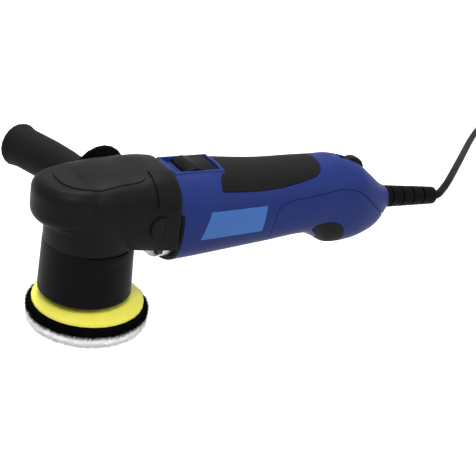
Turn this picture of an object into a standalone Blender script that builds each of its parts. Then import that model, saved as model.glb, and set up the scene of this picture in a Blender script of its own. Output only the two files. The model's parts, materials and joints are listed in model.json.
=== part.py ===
"""Dual action polisher with side handle, wool pad and coiled mains cord.

Metres, +Z up. The origin is the middle of the pad's working face, on the spindle's axis.
+X runs to the tail, +Y to the side handle. The named sizes below are in millimetres.
"""
import math

import bmesh
import bpy
from mathutils import Matrix, Vector

MM = 0.001

# Fits and walls
GAP = 0.3                       # play between neighbouring pieces
WALL = 3.0                      # wall of the moulded covers
SKIN = 2.6                      # thickness of grip, lower cover and belly inlay
SEAT = 2 * SKIN + 3 * GAP        # depth of the tail's hollow below the outer form

# Axes
AXIS_Z = 90.5                   # height of the motor's axis
ORBIT = 4.0                     # throw of the eccentric drive

# Pad stack, from the floor up
WOOL_RADIUS = 49.0
WOOL_HEIGHT = 10.0
FLEECE_RADIUS = WOOL_RADIUS + 0.5
FLEECE_HEIGHT = 5.4
HOOK_RADIUS = 44.0
HOOK_HEIGHT = 1.2
PLATE_RADIUS = 45.0
PLATE_TOP_RADIUS = 30.0
PLATE_RIM = 2.6
PLATE_HEIGHT = 10.2
PLATE_HUB_RADIUS = 13.0
PLATE_SCREW_RADIUS = 3.0
PLATE_SCREW_LENGTH = 18.0

# Shroud and gear head
SHROUD_BOTTOM = 29.6
SHROUD_TOP = 74.0
SHROUD_RADIUS = 37.5
SHROUD_TOP_RADIUS = 36.2
NECK_RADIUS = 36.0
NECK_TOP = 104.0
NOSE_X = -14.0
NOSE_RADIUS = 31.5
NOSE_BOTTOM = 93.0
NOSE_TOP = 127.5
NOSE_ROUND = 10.0
HEAD_END = 58.5

# Gear case and spindle
GEAR_PITCH_RADIUS = 22.0
GEAR_CLEAR = 2.0                # from the gear's pitch circle to the case's wall
CASE_WALL = 4.0
CASE_RADIUS = GEAR_PITCH_RADIUS + GEAR_CLEAR + CASE_WALL
CASE_TOP = 117.0
CASE_FLOOR = 60.6
TUBE_RADIUS = 26.0
TUBE_HOLLOW = 20.0
FLANGE_RADIUS = 36.6
FLANGE_THICK = 8.0
SPINDLE_RADIUS = 6.0
JOURNAL_RADIUS = 7.2
UPPER_BEARING = (11.0, 104.0, 112.0)     # outer radius, bottom, top
LOWER_BEARING = (17.5, 62.0, 72.0)
CARRIER_RADIUS = 20.0
CARRIER_BOTTOM = 43.0
CARRIER_TOP = 59.6
ECCENTRIC_RADIUS = 13.0
ECCENTRIC_HEIGHT = 10.0
PAD_SPINDLE_RADIUS = 6.0
WEIGHT_RADIUS = 31.0
WEIGHT_EDGE = -5.0

# Bevel pair
GEAR_TEETH = 21
PINION_TEETH = 7
FACE_WIDTH = 8.5
ADDENDUM = 0.75
DEDENDUM = 1.15
TOOTH_SHARE = 0.38              # tooth thickness as a share of the pitch

# Motor, measured along its axis from the spindle
SHAFT_RADIUS = 5.0
SHAFT_NOSE_RADIUS = 3.2
SHAFT_END = 177.0
FRONT_BEARING = (12.0, 44.0, 54.0)       # outer radius, start, end
REAR_BEARING = (9.5, 168.0, 176.0)
FAN_RADIUS = 28.0
FAN_START = 67.0
FAN_LENGTH = 12.0
FAN_BLADES = 11
STATOR_RADIUS = 28.6
STATOR_START = 92.0
STATOR_LENGTH = 46.0
CORE_RADIUS = 18.4
AIR_GAP = 0.9
CORE_SLOTS = 12
COMMUTATOR_RADIUS = 11.0
COMMUTATOR_START = 150.0
COMMUTATOR_LENGTH = 14.0
BRUSH_SIZE = (8.0, 6.0, 12.0)            # along the shaft, across, toward the shaft
BRUSH_WALL = 1.6

# Housing
HOUSING_START = 58.8
VENT_EDGE = 61.8
VENT_TOP = 104.0
SWITCH_START = 63.0
SWITCH_LENGTH = 31.5
SWITCH_HALF_WIDTH = 14.0
SWITCH_FLOOR = 125.7
SLIDER_LENGTH = 22.0
SLIDER_HEIGHT = 4.8
SWITCH_TRAVEL = 6.5
DIAL_X = 243.0
DIAL_Z = 107.5
DIAL_RADIUS = 13.0
DIAL_WIDTH = 8.0
SWITCH_CLEAR = 11.0                      # from the rear bearing to the switch module
SWITCH_SIZE = (24.0, 22.0, 22.0)
SWITCH_LOW = 80.0                        # underside of the switch module
BOARD_CLEAR = 11.0                       # from the switch module to the speed board
BOARD_SIZE = (34.0, 26.0)
BOARD_LOW = 64.0
HOUSING_SCREW_RADIUS = 1.9
CASE_SCREW_RADIUS = 2.0
CASE_SCREW_HEAD = 4.2

# Side handle, measured along its own axis
HANDLE_BASE = Vector((35.4, 0.0, 98.0))
HANDLE_SWEEP = math.radians(19.0)
GUARD_START = 41.0
GUARD_RADIUS = 34.0
GUARD_THICK = 5.0
STICK_END = 141.0
STICK_RADIUS = 17.2
STICK_NECK_RADIUS = 13.5
STICK_FLANGE_RADIUS = 18.8
STUD_RADIUS = 4.0
STUD_START = 22.0
STUD_END = 64.0
BOSS_RADIUS = 13.0

# Cord, strain relief, coil and plug
CORD_RADIUS = 3.7
RELIEF_BASE = Vector((287.6, 0.0, 76.9))
RELIEF_DROOP = math.radians(5.5)
RELIEF_LENGTH = 58.5
RELIEF_RADIUS = 10.0
RELIEF_END_RADIUS = 8.0
RELIEF_NECK_RADIUS = 6.6
COIL_CENTRE = Vector((765.0, 250.0, 0.0))
COIL_RADIUS = 48.5
COIL_PITCH = 8.0
COIL_TURNS = 3
TIE_THICK = 1.0
TIE_WIDTH = 8.0
PLUG_LEAD = 34.0
PLUG_LENGTH = 36.0
PIN_RADIUS = 2.4
PIN_LENGTH = 19.0
PIN_SPACING = 18.6

# Sections of the body along X: place, height of centre, half width, half height
BODY = (
    (HOUSING_START - 0.3, 90.7, 39.8, 39.8),
    (80.0, 91.1, 39.3, 39.3),
    (96.0, 91.2, 38.6, 38.6),
    (150.0, 89.9, 34.7, 34.7),
    (193.0, 90.3, 32.9, 33.0),
    (209.0, 87.0, 31.2, 36.3),
    (222.0, 83.5, 30.0, 40.0),
    (246.0, 80.0, 28.0, 36.4),
    (262.0, 76.4, 24.0, 28.7),
    (273.0, 74.5, 19.4, 21.6),
    (281.0, 75.6, 14.4, 14.6),
    (286.0, 76.8, 11.0, 11.0),
)
BODY_POWER = 2.25

# Sections of the head's block in the same manner
BLOCK = (
    (-24.0, 111.0, 25.0, 13.0),
    (-12.0, 111.0, 34.5, 17.0),
    (8.0, 109.0, 38.0, 22.0),
    (22.0, 103.0, 39.0, 29.0),
    (42.0, 98.0, 39.6, 35.5),
    (HEAD_END, 91.2, 40.0, 40.6),
)
BLOCK_POWER = 3.0

PAINTS = {
    "blue": ((0.020, 0.045, 0.250, 1.0), 0.42, 0.0),
    "black": ((0.012, 0.012, 0.014, 1.0), 0.50, 0.0),
    "rubber": ((0.035, 0.028, 0.026, 1.0), 0.75, 0.0),
    "yellow": ((0.830, 0.520, 0.020, 1.0), 0.45, 0.0),
    "wool": ((0.880, 0.860, 0.800, 1.0), 0.95, 0.0),
    "fleece": ((0.020, 0.020, 0.022, 1.0), 0.95, 0.0),
    "aluminium": ((0.620, 0.630, 0.640, 1.0), 0.38, 1.0),
    "steel": ((0.480, 0.490, 0.500, 1.0), 0.30, 1.0),
    "copper": ((0.720, 0.330, 0.160, 1.0), 0.35, 1.0),
    "iron": ((0.200, 0.200, 0.210, 1.0), 0.55, 1.0),
    "carbon": ((0.030, 0.030, 0.032, 1.0), 0.70, 0.0),
    "board": ((0.030, 0.160, 0.070, 1.0), 0.55, 0.0),
}


# Castings whose many close surfaces need the sturdier solver
CROWDED = ("gear_case", "head_cover")


def clear_scene():
    for obj in list(bpy.data.objects):
        bpy.data.objects.remove(obj, do_unlink=True)


clear_scene()
PARTS = bpy.data.collections.new("dual_action_polisher")
CUTTERS = bpy.data.collections.new("cutters")
bpy.context.scene.collection.children.link(PARTS)
bpy.context.scene.collection.children.link(CUTTERS)


def paint(name, kind):
    colour, roughness, metallic = PAINTS[kind]
    material = bpy.data.materials.new(name)
    material.use_nodes = True
    shader = material.node_tree.nodes["Principled BSDF"]
    shader.inputs["Base Color"].default_value = colour
    shader.inputs["Roughness"].default_value = roughness
    shader.inputs["Metallic"].default_value = metallic
    return material


def axis(name, location, direction=(0, 0, 1), parent=None):
    """An empty whose Z axis is the line that pieces are turned or moved about."""
    empty = bpy.data.objects.new(name, None)
    empty.empty_display_size = 0.02
    empty.rotation_mode = "QUATERNION"
    empty.rotation_quaternion = Vector((0, 0, 1)).rotation_difference(Vector(direction))
    empty.location = Vector(location) * MM
    empty.parent = parent
    PARTS.objects.link(empty)
    return empty


def place(name, mesh, kind=None, parent=None):
    """Put a mesh in the scene: a part when it has a paint, a cutter when it has none."""
    obj = bpy.data.objects.new(name, mesh)
    obj.parent = parent
    if kind is None:
        obj.hide_render = True
        obj.display_type = "WIRE"
        CUTTERS.objects.link(obj)
    else:
        mesh.materials.append(paint(name, kind))
        PARTS.objects.link(obj)
    return obj


def finish_mesh(name, bm):
    bmesh.ops.recalc_face_normals(bm, faces=bm.faces)
    mesh = bpy.data.meshes.new(name)
    bm.to_mesh(mesh)
    bm.free()
    mesh.shade_smooth()
    mesh.set_sharp_from_angle(angle=math.radians(35))
    return mesh


def turned(name, profile, kind=None, parent=None, steps=24, ring=False):
    """Turn a profile of (radius, height) pairs, top to bottom, about the local Z axis."""
    bm = bmesh.new()
    line = [bm.verts.new((r * MM, 0, z * MM)) for r, z in profile]
    pairs = list(zip(line, line[1:]))
    if ring:
        pairs.append((line[-1], line[0]))
    for first, second in pairs:
        bm.edges.new((first, second))
    mesh = bpy.data.meshes.new(name)
    bm.to_mesh(mesh)
    bm.free()
    obj = place(name, mesh, kind, parent)
    screw = obj.modifiers.new("turn", "SCREW")
    screw.axis = "Z"
    screw.steps = steps
    screw.render_steps = steps
    screw.use_merge_vertices = True
    screw.merge_threshold = 0.00001
    screw.use_smooth_shade = True
    return obj


def rod(name, stages, kind=None, parent=None, steps=24):
    """A solid turned piece from (radius, height) pairs, top to bottom."""
    profile = [(0.0, stages[0][1])] + list(stages) + [(0.0, stages[-1][1])]
    return turned(name, profile, kind, parent, steps)


def sleeve(name, inner, outer, low, high, kind=None, parent=None, steps=24):
    """A plain ring."""
    profile = ((inner, high), (outer, high), (outer, low), (inner, low))
    return turned(name, profile, kind, parent, steps, ring=True)


def bearing(name, inner, outer, low, high, parent):
    """A closed ball bearing, its edges broken where it is pushed home."""
    edge = 0.6
    profile = ((inner, high), (outer - edge, high), (outer, high - edge), (outer, low), (inner, low))
    return turned(name, profile, "steel", parent, 14, ring=True)


def block(name, low, high, kind=None, parent=None):
    """A box between two corners."""
    low = Vector(low) * MM
    high = Vector(high) * MM
    bm = bmesh.new()
    bmesh.ops.create_cube(bm, size=1.0)
    bmesh.ops.scale(bm, vec=high - low, verts=bm.verts)
    bmesh.ops.translate(bm, vec=(high + low) / 2, verts=bm.verts)
    return place(name, finish_mesh(name, bm), kind, parent)


def radial_blocks(name, count, start, end, width, low, high, lean=0.0, parent=None):
    """Equal boxes set round the local Z axis."""
    bm = bmesh.new()
    size = Vector((end - start, width, high - low)) * MM
    middle = Vector(((start + end) / 2, 0.0, (low + high) / 2)) * MM
    for index in range(count):
        turn = Matrix.Rotation(2 * math.pi * index / count, 4, "Z")
        tilt = Matrix.Translation(middle) @ Matrix.Rotation(lean, 4, "Z")
        matrix = turn @ tilt @ Matrix.Diagonal((*size, 1.0))
        bmesh.ops.create_cube(bm, size=1.0, matrix=matrix)
    return place(name, finish_mesh(name, bm), None, parent)


def frozen(obj):
    """The mesh of an object as its modifiers leave it."""
    graph = bpy.context.evaluated_depsgraph_get()
    mesh = bpy.data.meshes.new_from_object(obj.evaluated_get(graph), depsgraph=graph)
    mesh.materials.clear()
    return mesh


def side_outline(name, points, half_width):
    """A flat outline in the XZ plane, drawn as a filled curve and carried both ways along Y."""
    curve = bpy.data.curves.new(name, "CURVE")
    curve.dimensions = "2D"
    curve.fill_mode = "BOTH"
    curve.extrude = half_width * MM
    spline = curve.splines.new("POLY")
    spline.points.add(len(points) - 1)
    for point, (x, z) in zip(spline.points, points):
        point.co = (x * MM, z * MM, 0.0, 1.0)
    spline.use_cyclic_u = True
    drawing = bpy.data.objects.new(name, curve)
    drawing.rotation_euler = (math.pi / 2, 0.0, 0.0)
    CUTTERS.objects.link(drawing)
    mesh = frozen(drawing)
    mesh.transform(Matrix.Rotation(math.pi / 2, 4, "X"))
    bpy.data.objects.remove(drawing, do_unlink=True)
    bm = bmesh.new()
    bm.from_mesh(mesh)
    bmesh.ops.remove_doubles(bm, verts=bm.verts, dist=0.000001)
    return place(name, finish_mesh(name, bm))


def grown(points, amount):
    """Move each corner of an outline outward so that its sides shift by an amount."""
    count = len(points)
    area = sum(a[0] * b[1] - b[0] * a[1] for a, b in zip(points, points[1:] + points[:1]))
    side = 1.0 if area > 0 else -1.0
    result = []
    for index in range(count):
        here = Vector(points[index])
        before = (here - Vector(points[index - 1])).normalized()
        after = (Vector(points[(index + 1) % count]) - here).normalized()
        first = Vector((before.y, -before.x)) * side
        second = Vector((after.y, -after.x)) * side
        middle = (first + second).normalized()
        result.append(tuple(here + middle * (amount / middle.dot(first))))
    return result


def section_at(stations, x):
    """Centre height and half sizes at a place along X, on a smooth curve through the stations."""
    count = len(stations)
    index = 0
    while index < count - 2 and x > stations[index + 1][0]:
        index += 1
    low, high = stations[index], stations[index + 1]
    before = stations[max(index - 1, 0)]
    after = stations[min(index + 2, count - 1)]
    span = high[0] - low[0]
    share = (x - low[0]) / span
    values = []
    for column in (1, 2, 3):
        rise_low = (high[column] - before[column]) / (high[0] - before[0]) * span
        rise_high = (after[column] - low[column]) / (after[0] - low[0]) * span
        h00 = 2 * share ** 3 - 3 * share ** 2 + 1
        h10 = share ** 3 - 2 * share ** 2 + share
        h01 = -2 * share ** 3 + 3 * share ** 2
        h11 = share ** 3 - share ** 2
        values.append(h00 * low[column] + h10 * rise_low + h01 * high[column] + h11 * rise_high)
    return values


def section_places(stations, start, end, step):
    """Where a form is cut into sections: the same places for every form on the same stations."""
    places = []
    for low, high in zip(stations, stations[1:]):
        pieces = max(1, round((high[0] - low[0]) / step))
        places += [low[0] + (high[0] - low[0]) * index / pieces for index in range(pieces)]
    places.append(stations[-1][0])
    return [start] + [x for x in places if start + 1.0 < x < end - 1.0] + [end]


def loft(name, stations, power, start, end, inset=0.0, kind=None, sides=24, step=16.0):
    """A closed skin over rounded sections that change along X."""
    bm = bmesh.new()
    rings = []
    for x in section_places(stations, start, end, step):
        centre, half_width, half_height = section_at(stations, x)
        ring = []
        for corner in range(sides):
            angle = 2 * math.pi * (corner + 0.5) / sides
            c, s = math.cos(angle), math.sin(angle)
            y = math.copysign(abs(c) ** (2 / power), c) * (half_width - inset)
            z = centre + math.copysign(abs(s) ** (2 / power), s) * (half_height - inset)
            ring.append(bm.verts.new((x * MM, y * MM, z * MM)))
        rings.append(ring)
    for ring, follow in zip(rings, rings[1:]):
        for corner in range(sides):
            other = (corner + 1) % sides
            bm.faces.new((ring[corner], ring[other], follow[other], follow[corner]))
    bm.faces.new(rings[0])
    bm.faces.new(rings[-1])
    return place(name, finish_mesh(name, bm), kind)


def boolean(obj, cutter, operation="DIFFERENCE"):
    modifier = obj.modifiers.new(cutter.name, "BOOLEAN")
    modifier.operation = operation
    modifier.object = cutter
    modifier.solver = "MANIFOLD" if obj.name in CROWDED else "EXACT"


def cut(obj, *cutters):
    for cutter in cutters:
        boolean(obj, cutter)


def join(obj, *others):
    for other in others:
        boolean(obj, other, "UNION")


def tube(name, points, radius, kind, resolution):
    """A round tube along a line of points."""
    curve = bpy.data.curves.new(name, "CURVE")
    curve.dimensions = "3D"
    curve.bevel_depth = radius * MM
    curve.bevel_resolution = resolution
    curve.use_fill_caps = True
    spline = curve.splines.new("POLY")
    spline.points.add(len(points) - 1)
    for point, place_mm in zip(spline.points, points):
        point.co = (*(Vector(place_mm) * MM), 1.0)
    curve.materials.append(paint(name, kind))
    obj = bpy.data.objects.new(name, curve)
    PARTS.objects.link(obj)
    return obj


def smooth_route(points, spacing):
    """Even points along a smooth curve through the chosen ones."""
    points = [Vector(p) for p in points]
    points = [2 * points[0] - points[1]] + points + [2 * points[-1] - points[-2]]
    fine = []
    for p0, p1, p2, p3 in zip(points, points[1:], points[2:], points[3:]):
        for index in range(24):
            t = index / 24
            fine.append(0.5 * (2 * p1 + (p2 - p0) * t + (2 * p0 - 5 * p1 + 4 * p2 - p3) * t * t
                               + (3 * p1 - p0 - 3 * p2 + p3) * t ** 3))
    fine.append(points[-2])
    total = sum((b - a).length for a, b in zip(fine, fine[1:]))
    count = max(2, round(total / spacing))
    result = [fine[0]]
    walked = 0.0
    for a, b in zip(fine, fine[1:]):
        length = (b - a).length
        while len(result) < count and walked + length >= total * len(result) / count:
            share = (total * len(result) / count - walked) / length
            result.append(a.lerp(b, share))
        walked += length
    result.append(fine[-1])
    return result, total


# Axes that pieces are turned about or move along
motor_axis = axis("motor_axis", (0, 0, AXIS_Z), (1, 0, 0))
spindle_axis = axis("spindle_axis", (0, 0, 0))
pad_axis = axis("pad_axis", (ORBIT, 0, 0), (0, 0, 1), spindle_axis)
dial_axis = axis("dial_axis", (DIAL_X, 0, DIAL_Z), (0, 1, 0))
handle_line = Vector((-math.sin(HANDLE_SWEEP), math.cos(HANDLE_SWEEP), 0.0))
handle_axis = axis("handle_axis", HANDLE_BASE, handle_line)
relief_line = Vector((math.cos(RELIEF_DROOP), 0.0, -math.sin(RELIEF_DROOP)))
relief_axis = axis("relief_axis", RELIEF_BASE, relief_line)

# Pad: wool on a fleece backing, held by hooks on the plate
level = WOOL_HEIGHT
rod("wool_pad", (
    (WOOL_RADIUS - 3.0, level), (WOOL_RADIUS - 0.6, level - 1.4), (WOOL_RADIUS, level - 4.0),
    (WOOL_RADIUS - 0.4, 3.5), (WOOL_RADIUS - 2.5, 0.8), (WOOL_RADIUS - 6.0, 0.0),
), "wool", pad_axis, 32)
level += GAP
rod("pad_backing", (
    (FLEECE_RADIUS - 1.4, level + FLEECE_HEIGHT), (FLEECE_RADIUS, level + FLEECE_HEIGHT - 1.4),
    (FLEECE_RADIUS, level + 1.2), (FLEECE_RADIUS - 1.2, level),
), "fleece", pad_axis, 32)
level += FLEECE_HEIGHT + GAP
rod("hook_layer", ((HOOK_RADIUS, level + HOOK_HEIGHT), (HOOK_RADIUS, level)), "black", pad_axis, 32)
level += HOOK_HEIGHT + GAP
plate_low = level
plate_top = plate_low + PLATE_HEIGHT
screw_hole = PLATE_SCREW_RADIUS + GAP
counterbore = 2 * PLATE_SCREW_RADIUS + GAP
head_room = PLATE_HEIGHT * 0.4
turned("backing_plate", (
    (screw_hole, plate_top), (PLATE_HUB_RADIUS, plate_top), (PLATE_HUB_RADIUS + 1.5, plate_top - 0.8),
    (PLATE_TOP_RADIUS, plate_top - 1.4), (PLATE_RADIUS - 2.5, plate_low + PLATE_RIM + 0.9),
    (PLATE_RADIUS, plate_low + PLATE_RIM), (PLATE_RADIUS, plate_low + 0.5),
    (PLATE_RADIUS - 0.5, plate_low), (counterbore, plate_low), (counterbore, plate_low + head_room),
    (screw_hole, plate_low + head_room),
), "yellow", pad_axis, 30, ring=True)
pad_spindle_low = plate_top + GAP
eccentric_low = CARRIER_BOTTOM + 2.0
eccentric_top = eccentric_low + ECCENTRIC_HEIGHT
screw_seat = plate_low + head_room - GAP
screw_tip = screw_seat + PLATE_SCREW_LENGTH
turned("pad_spindle", (
    (0.0, eccentric_top), (PAD_SPINDLE_RADIUS, eccentric_top), (PAD_SPINDLE_RADIUS, eccentric_low - 3.0),
    (PAD_SPINDLE_RADIUS + 2.5, eccentric_low - 3.0), (PAD_SPINDLE_RADIUS + 2.5, pad_spindle_low + 3.0),
    (PLATE_HUB_RADIUS - 2.0, pad_spindle_low + 3.0), (PLATE_HUB_RADIUS - 2.0, pad_spindle_low),
    (screw_hole, pad_spindle_low), (screw_hole, screw_tip + 1.0), (0.0, screw_tip + 1.0),
), "steel", pad_axis, 16)
rod("plate_screw", (
    (PLATE_SCREW_RADIUS, screw_tip), (PLATE_SCREW_RADIUS, screw_seat),
    (2 * PLATE_SCREW_RADIUS, screw_seat), (2 * PLATE_SCREW_RADIUS, plate_low + GAP),
), "steel", pad_axis, 14)

# Eccentric drive on the spindle
spindle = rod("spindle", (
    (SPINDLE_RADIUS, UPPER_BEARING[2] + 1.0), (SPINDLE_RADIUS, LOWER_BEARING[2] + 1.2),
    (JOURNAL_RADIUS, LOWER_BEARING[2] + 1.2), (JOURNAL_RADIUS, CARRIER_TOP),
    (CARRIER_RADIUS, CARRIER_TOP), (CARRIER_RADIUS, CARRIER_BOTTOM),
), "steel", spindle_axis, 24)
eccentric_bore = rod("eccentric_bore", (
    (ECCENTRIC_RADIUS + GAP, eccentric_top + GAP), (ECCENTRIC_RADIUS + GAP, CARRIER_BOTTOM - 5.0),
), None, pad_axis, 24)
cut(spindle, eccentric_bore)
bearing("eccentric_bearing", PAD_SPINDLE_RADIUS + GAP, ECCENTRIC_RADIUS, eccentric_low,
        eccentric_top, pad_axis)
weight = sleeve("counterweight", CARRIER_RADIUS + GAP, WEIGHT_RADIUS, eccentric_low,
                eccentric_top, "iron", spindle_axis, 24)
cut(weight, block("weight_trim", (WEIGHT_EDGE, -50, 0), (50, 50, 100)))


def bevel_wheel(name, teeth, mate, facing, phase, kind, parent, back, bore):
    """A bevel wheel whose pitch cone has its point at the parent's origin."""
    pitch = GEAR_PITCH_RADIUS * teeth / GEAR_TEETH
    cone = math.hypot(GEAR_PITCH_RADIUS, GEAR_PITCH_RADIUS * PINION_TEETH / GEAR_TEETH)
    angle = math.atan2(teeth, mate)
    half = math.pi * pitch / teeth * TOOTH_SHARE
    lean = math.tan(math.radians(22.0))
    tip_half = (half - ADDENDUM * lean) / pitch
    root_half = (half + DEDENDUM * lean) / pitch
    tip_angle = angle + math.atan2(ADDENDUM, cone)
    root_angle = angle - math.atan2(DEDENDUM, cone)
    bm = bmesh.new()
    rings = []
    for reach in (cone, cone - FACE_WIDTH):
        ring = []
        for tooth in range(teeth):
            middle = phase + 2 * math.pi * tooth / teeth
            corners = ((-root_half, root_angle), (-tip_half, tip_angle),
                       (tip_half, tip_angle), (root_half, root_angle))
            for turn, slope in corners:
                radius = reach * math.sin(slope) * MM
                height = facing * reach * math.cos(slope) * MM
                ring.append(bm.verts.new((radius * math.cos(middle + turn),
                                          radius * math.sin(middle + turn), height)))
        rings.append(ring)
    outer_root = cone * math.sin(root_angle) * MM
    back_height = facing * (cone * math.cos(root_angle) + back) * MM
    inner_height = facing * ((cone - FACE_WIDTH) * math.cos(root_angle) + 1.0) * MM
    behind = []
    for vert in rings[0]:
        along = math.atan2(vert.co.y, vert.co.x)
        behind.append(bm.verts.new((outer_root * math.cos(along), outer_root * math.sin(along), back_height)))
    rings.insert(0, behind)
    size = len(behind)
    for ring, follow in zip(rings, rings[1:]):
        for index in range(size):
            other = (index + 1) % size
            bm.faces.new((ring[index], ring[other], follow[other], follow[index]))
    for ring, height in ((rings[0], back_height), (rings[-1], inner_height)):
        middle = bm.verts.new((0.0, 0.0, height))
        for index in range(size):
            bm.faces.new((ring[index], ring[(index + 1) % size], middle))
    wheel = place(name, finish_mesh(name, bm), kind, parent)
    cut(wheel, rod(name + "_bore", ((bore, 40.0), (bore, -40.0)), None, parent, 16))
    return wheel


# The pinion has a tooth at its lowest point, where the wheel has a gap
gear_axis = axis("gear_axis", (0, 0, AXIS_Z), (0, 0, 1), spindle_axis)
toward = gear_axis.rotation_quaternion.inverted() @ Vector((1, 0, 0))
below = motor_axis.rotation_quaternion.inverted() @ Vector((0, 0, -1))
bevel_wheel("drive_gear", GEAR_TEETH, PINION_TEETH, -1, math.atan2(toward.y, toward.x) + math.pi / GEAR_TEETH,
            "steel", gear_axis, 2.4, SPINDLE_RADIUS + GAP)
bevel_wheel("pinion", PINION_TEETH, GEAR_TEETH, 1, math.atan2(below.y, below.x),
            "steel", motor_axis, 3.0, SHAFT_NOSE_RADIUS + GAP)

# Armature
pinion_back = math.hypot(GEAR_PITCH_RADIUS, GEAR_PITCH_RADIUS * PINION_TEETH / GEAR_TEETH) + 4.0
rod("armature_shaft", (
    (SHAFT_RADIUS, SHAFT_END), (SHAFT_RADIUS, pinion_back + 3.0), (SHAFT_NOSE_RADIUS, pinion_back + 3.0),
    (SHAFT_NOSE_RADIUS, SPINDLE_RADIUS + 6.0),
), "steel", motor_axis, 16)
core_start = STATOR_START + 2.0
core_end = STATOR_START + STATOR_LENGTH - 2.0
core = sleeve("armature_core", SHAFT_RADIUS + GAP, CORE_RADIUS, core_start, core_end, "iron", motor_axis, 24)
cut(core, radial_blocks("core_slots", CORE_SLOTS, CORE_RADIUS - 6.0, CORE_RADIUS + 2.0, 2.4,
                        core_start - 2.0, core_end + 2.0, 0.0, motor_axis))
sleeve("commutator", SHAFT_RADIUS + GAP, COMMUTATOR_RADIUS, COMMUTATOR_START,
       COMMUTATOR_START + COMMUTATOR_LENGTH, "copper", motor_axis, 16)
fan_end = FAN_START + FAN_LENGTH
fan = turned("fan", (
    (SHAFT_RADIUS + GAP, fan_end), (SHAFT_RADIUS + 5.0, fan_end), (SHAFT_RADIUS + 5.0, FAN_START + 2.0),
    (FAN_RADIUS, FAN_START + 2.0), (FAN_RADIUS, FAN_START), (SHAFT_RADIUS + GAP, FAN_START),
), "black", motor_axis, 20, ring=True)
join(fan, radial_blocks("fan_blades", FAN_BLADES, SHAFT_RADIUS + 8.0, FAN_RADIUS - 0.6, 1.4,
                        FAN_START + 1.0, fan_end - 1.0, math.radians(18.0), motor_axis))

# Fixed motor pieces
sleeve("stator", CORE_RADIUS + AIR_GAP, STATOR_RADIUS, STATOR_START, STATOR_START + STATOR_LENGTH,
       "iron", motor_axis, 24)
bearing("motor_bearing_front", SHAFT_RADIUS + GAP, *FRONT_BEARING, motor_axis)
bearing("motor_bearing_rear", SHAFT_RADIUS + GAP, *REAR_BEARING, motor_axis)
brush_along, brush_across, brush_deep = BRUSH_SIZE
brush_x = COMMUTATOR_START + COMMUTATOR_LENGTH / 2
for side, sign in (("left", -1), ("right", 1)):
    near = COMMUTATOR_RADIUS + GAP
    far = near + brush_deep
    block("brush_" + side,
          (brush_x - brush_along / 2, min(sign * near, sign * far), AXIS_Z - brush_across / 2),
          (brush_x + brush_along / 2, max(sign * near, sign * far), AXIS_Z + brush_across / 2), "carbon")
    start = near + 2.0
    stop = far + 1.0
    room = GAP + BRUSH_WALL
    holder = block("brush_holder_" + side,
                   (brush_x - brush_along / 2 - room, min(sign * start, sign * stop),
                    AXIS_Z - brush_across / 2 - room),
                   (brush_x + brush_along / 2 + room, max(sign * start, sign * stop),
                    AXIS_Z + brush_across / 2 + room), "copper")
    cut(holder, block("brush_channel_" + side,
                      (brush_x - brush_along / 2 - GAP, -60, AXIS_Z - brush_across / 2 - GAP),
                      (brush_x + brush_along / 2 + GAP, 60, AXIS_Z + brush_across / 2 + GAP)))

# Gear case, its lower plate and the spindle's bearings
bearing("spindle_bearing_upper", SPINDLE_RADIUS + GAP, *UPPER_BEARING, spindle_axis)
bearing("spindle_bearing_lower", JOURNAL_RADIUS + GAP, *LOWER_BEARING, spindle_axis)
case_low = LOWER_BEARING[2] + GAP
bearing_plate = turned("bearing_plate", (
    (LOWER_BEARING[0] + GAP, LOWER_BEARING[2]), (CASE_RADIUS, LOWER_BEARING[2]),
    (CASE_RADIUS, CASE_FLOOR), (JOURNAL_RADIUS + 6.0, CASE_FLOOR),
    (JOURNAL_RADIUS + 6.0, LOWER_BEARING[1] - GAP), (LOWER_BEARING[0] + GAP, LOWER_BEARING[1] - GAP),
), "aluminium", spindle_axis, 24, ring=True)
flange_start = HEAD_END - FLANGE_THICK
case = rod("gear_case", (
    (CASE_RADIUS - 5.0, CASE_TOP), (CASE_RADIUS, CASE_TOP - 5.0), (CASE_RADIUS, case_low - WALL),
), "aluminium", spindle_axis, 24)
case_tube = rod("case_tube", (
    (FLANGE_RADIUS, HEAD_END), (FLANGE_RADIUS, flange_start), (TUBE_RADIUS, flange_start),
    (TUBE_RADIUS, SHAFT_RADIUS),
), None, motor_axis, 24)
case_boss = rod("case_boss", ((2 * STUD_RADIUS + 1.0, 36.0), (2 * STUD_RADIUS + 1.0, STUD_START)),
                None, handle_axis, 16)
join(case, case_tube, case_boss)
hollow_top = UPPER_BEARING[1] - 1.5
case_hollow = rod("case_hollow", (
    (UPPER_BEARING[0] + GAP, UPPER_BEARING[2] + 1.5), (UPPER_BEARING[0] + GAP, hollow_top),
    (CASE_RADIUS - CASE_WALL, hollow_top), (CASE_RADIUS - CASE_WALL, case_low - 20.0),
), None, spindle_axis, 16)
case_bore = rod("case_bore", (
    (SHAFT_RADIUS + 3.0, HEAD_END + 10.0), (SHAFT_RADIUS + 3.0, FRONT_BEARING[2] + GAP),
    (FRONT_BEARING[0] + GAP, FRONT_BEARING[2] + GAP), (FRONT_BEARING[0] + GAP, FRONT_BEARING[1] - GAP),
    (TUBE_HOLLOW, FRONT_BEARING[1] - GAP), (TUBE_HOLLOW, 0.0),
), None, motor_axis, 16)
stud_hole = rod("stud_hole", ((STUD_RADIUS + GAP, STUD_END + 1.0), (STUD_RADIUS + GAP, STUD_START - GAP)),
                None, handle_axis, 16)
plate_room = rod("plate_room", ((CASE_RADIUS + GAP, case_low), (CASE_RADIUS + GAP, CASE_FLOOR - 5.0)),
                 None, spindle_axis, 24)
face_low = GUARD_START - 2 * GAP - WALL
case_face = block("case_face", (-90, -90, face_low - 2 * GAP), (90, 90, 90), None, handle_axis)
cut(case, case_hollow, case_bore, stud_hole, plate_room, case_face)

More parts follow.
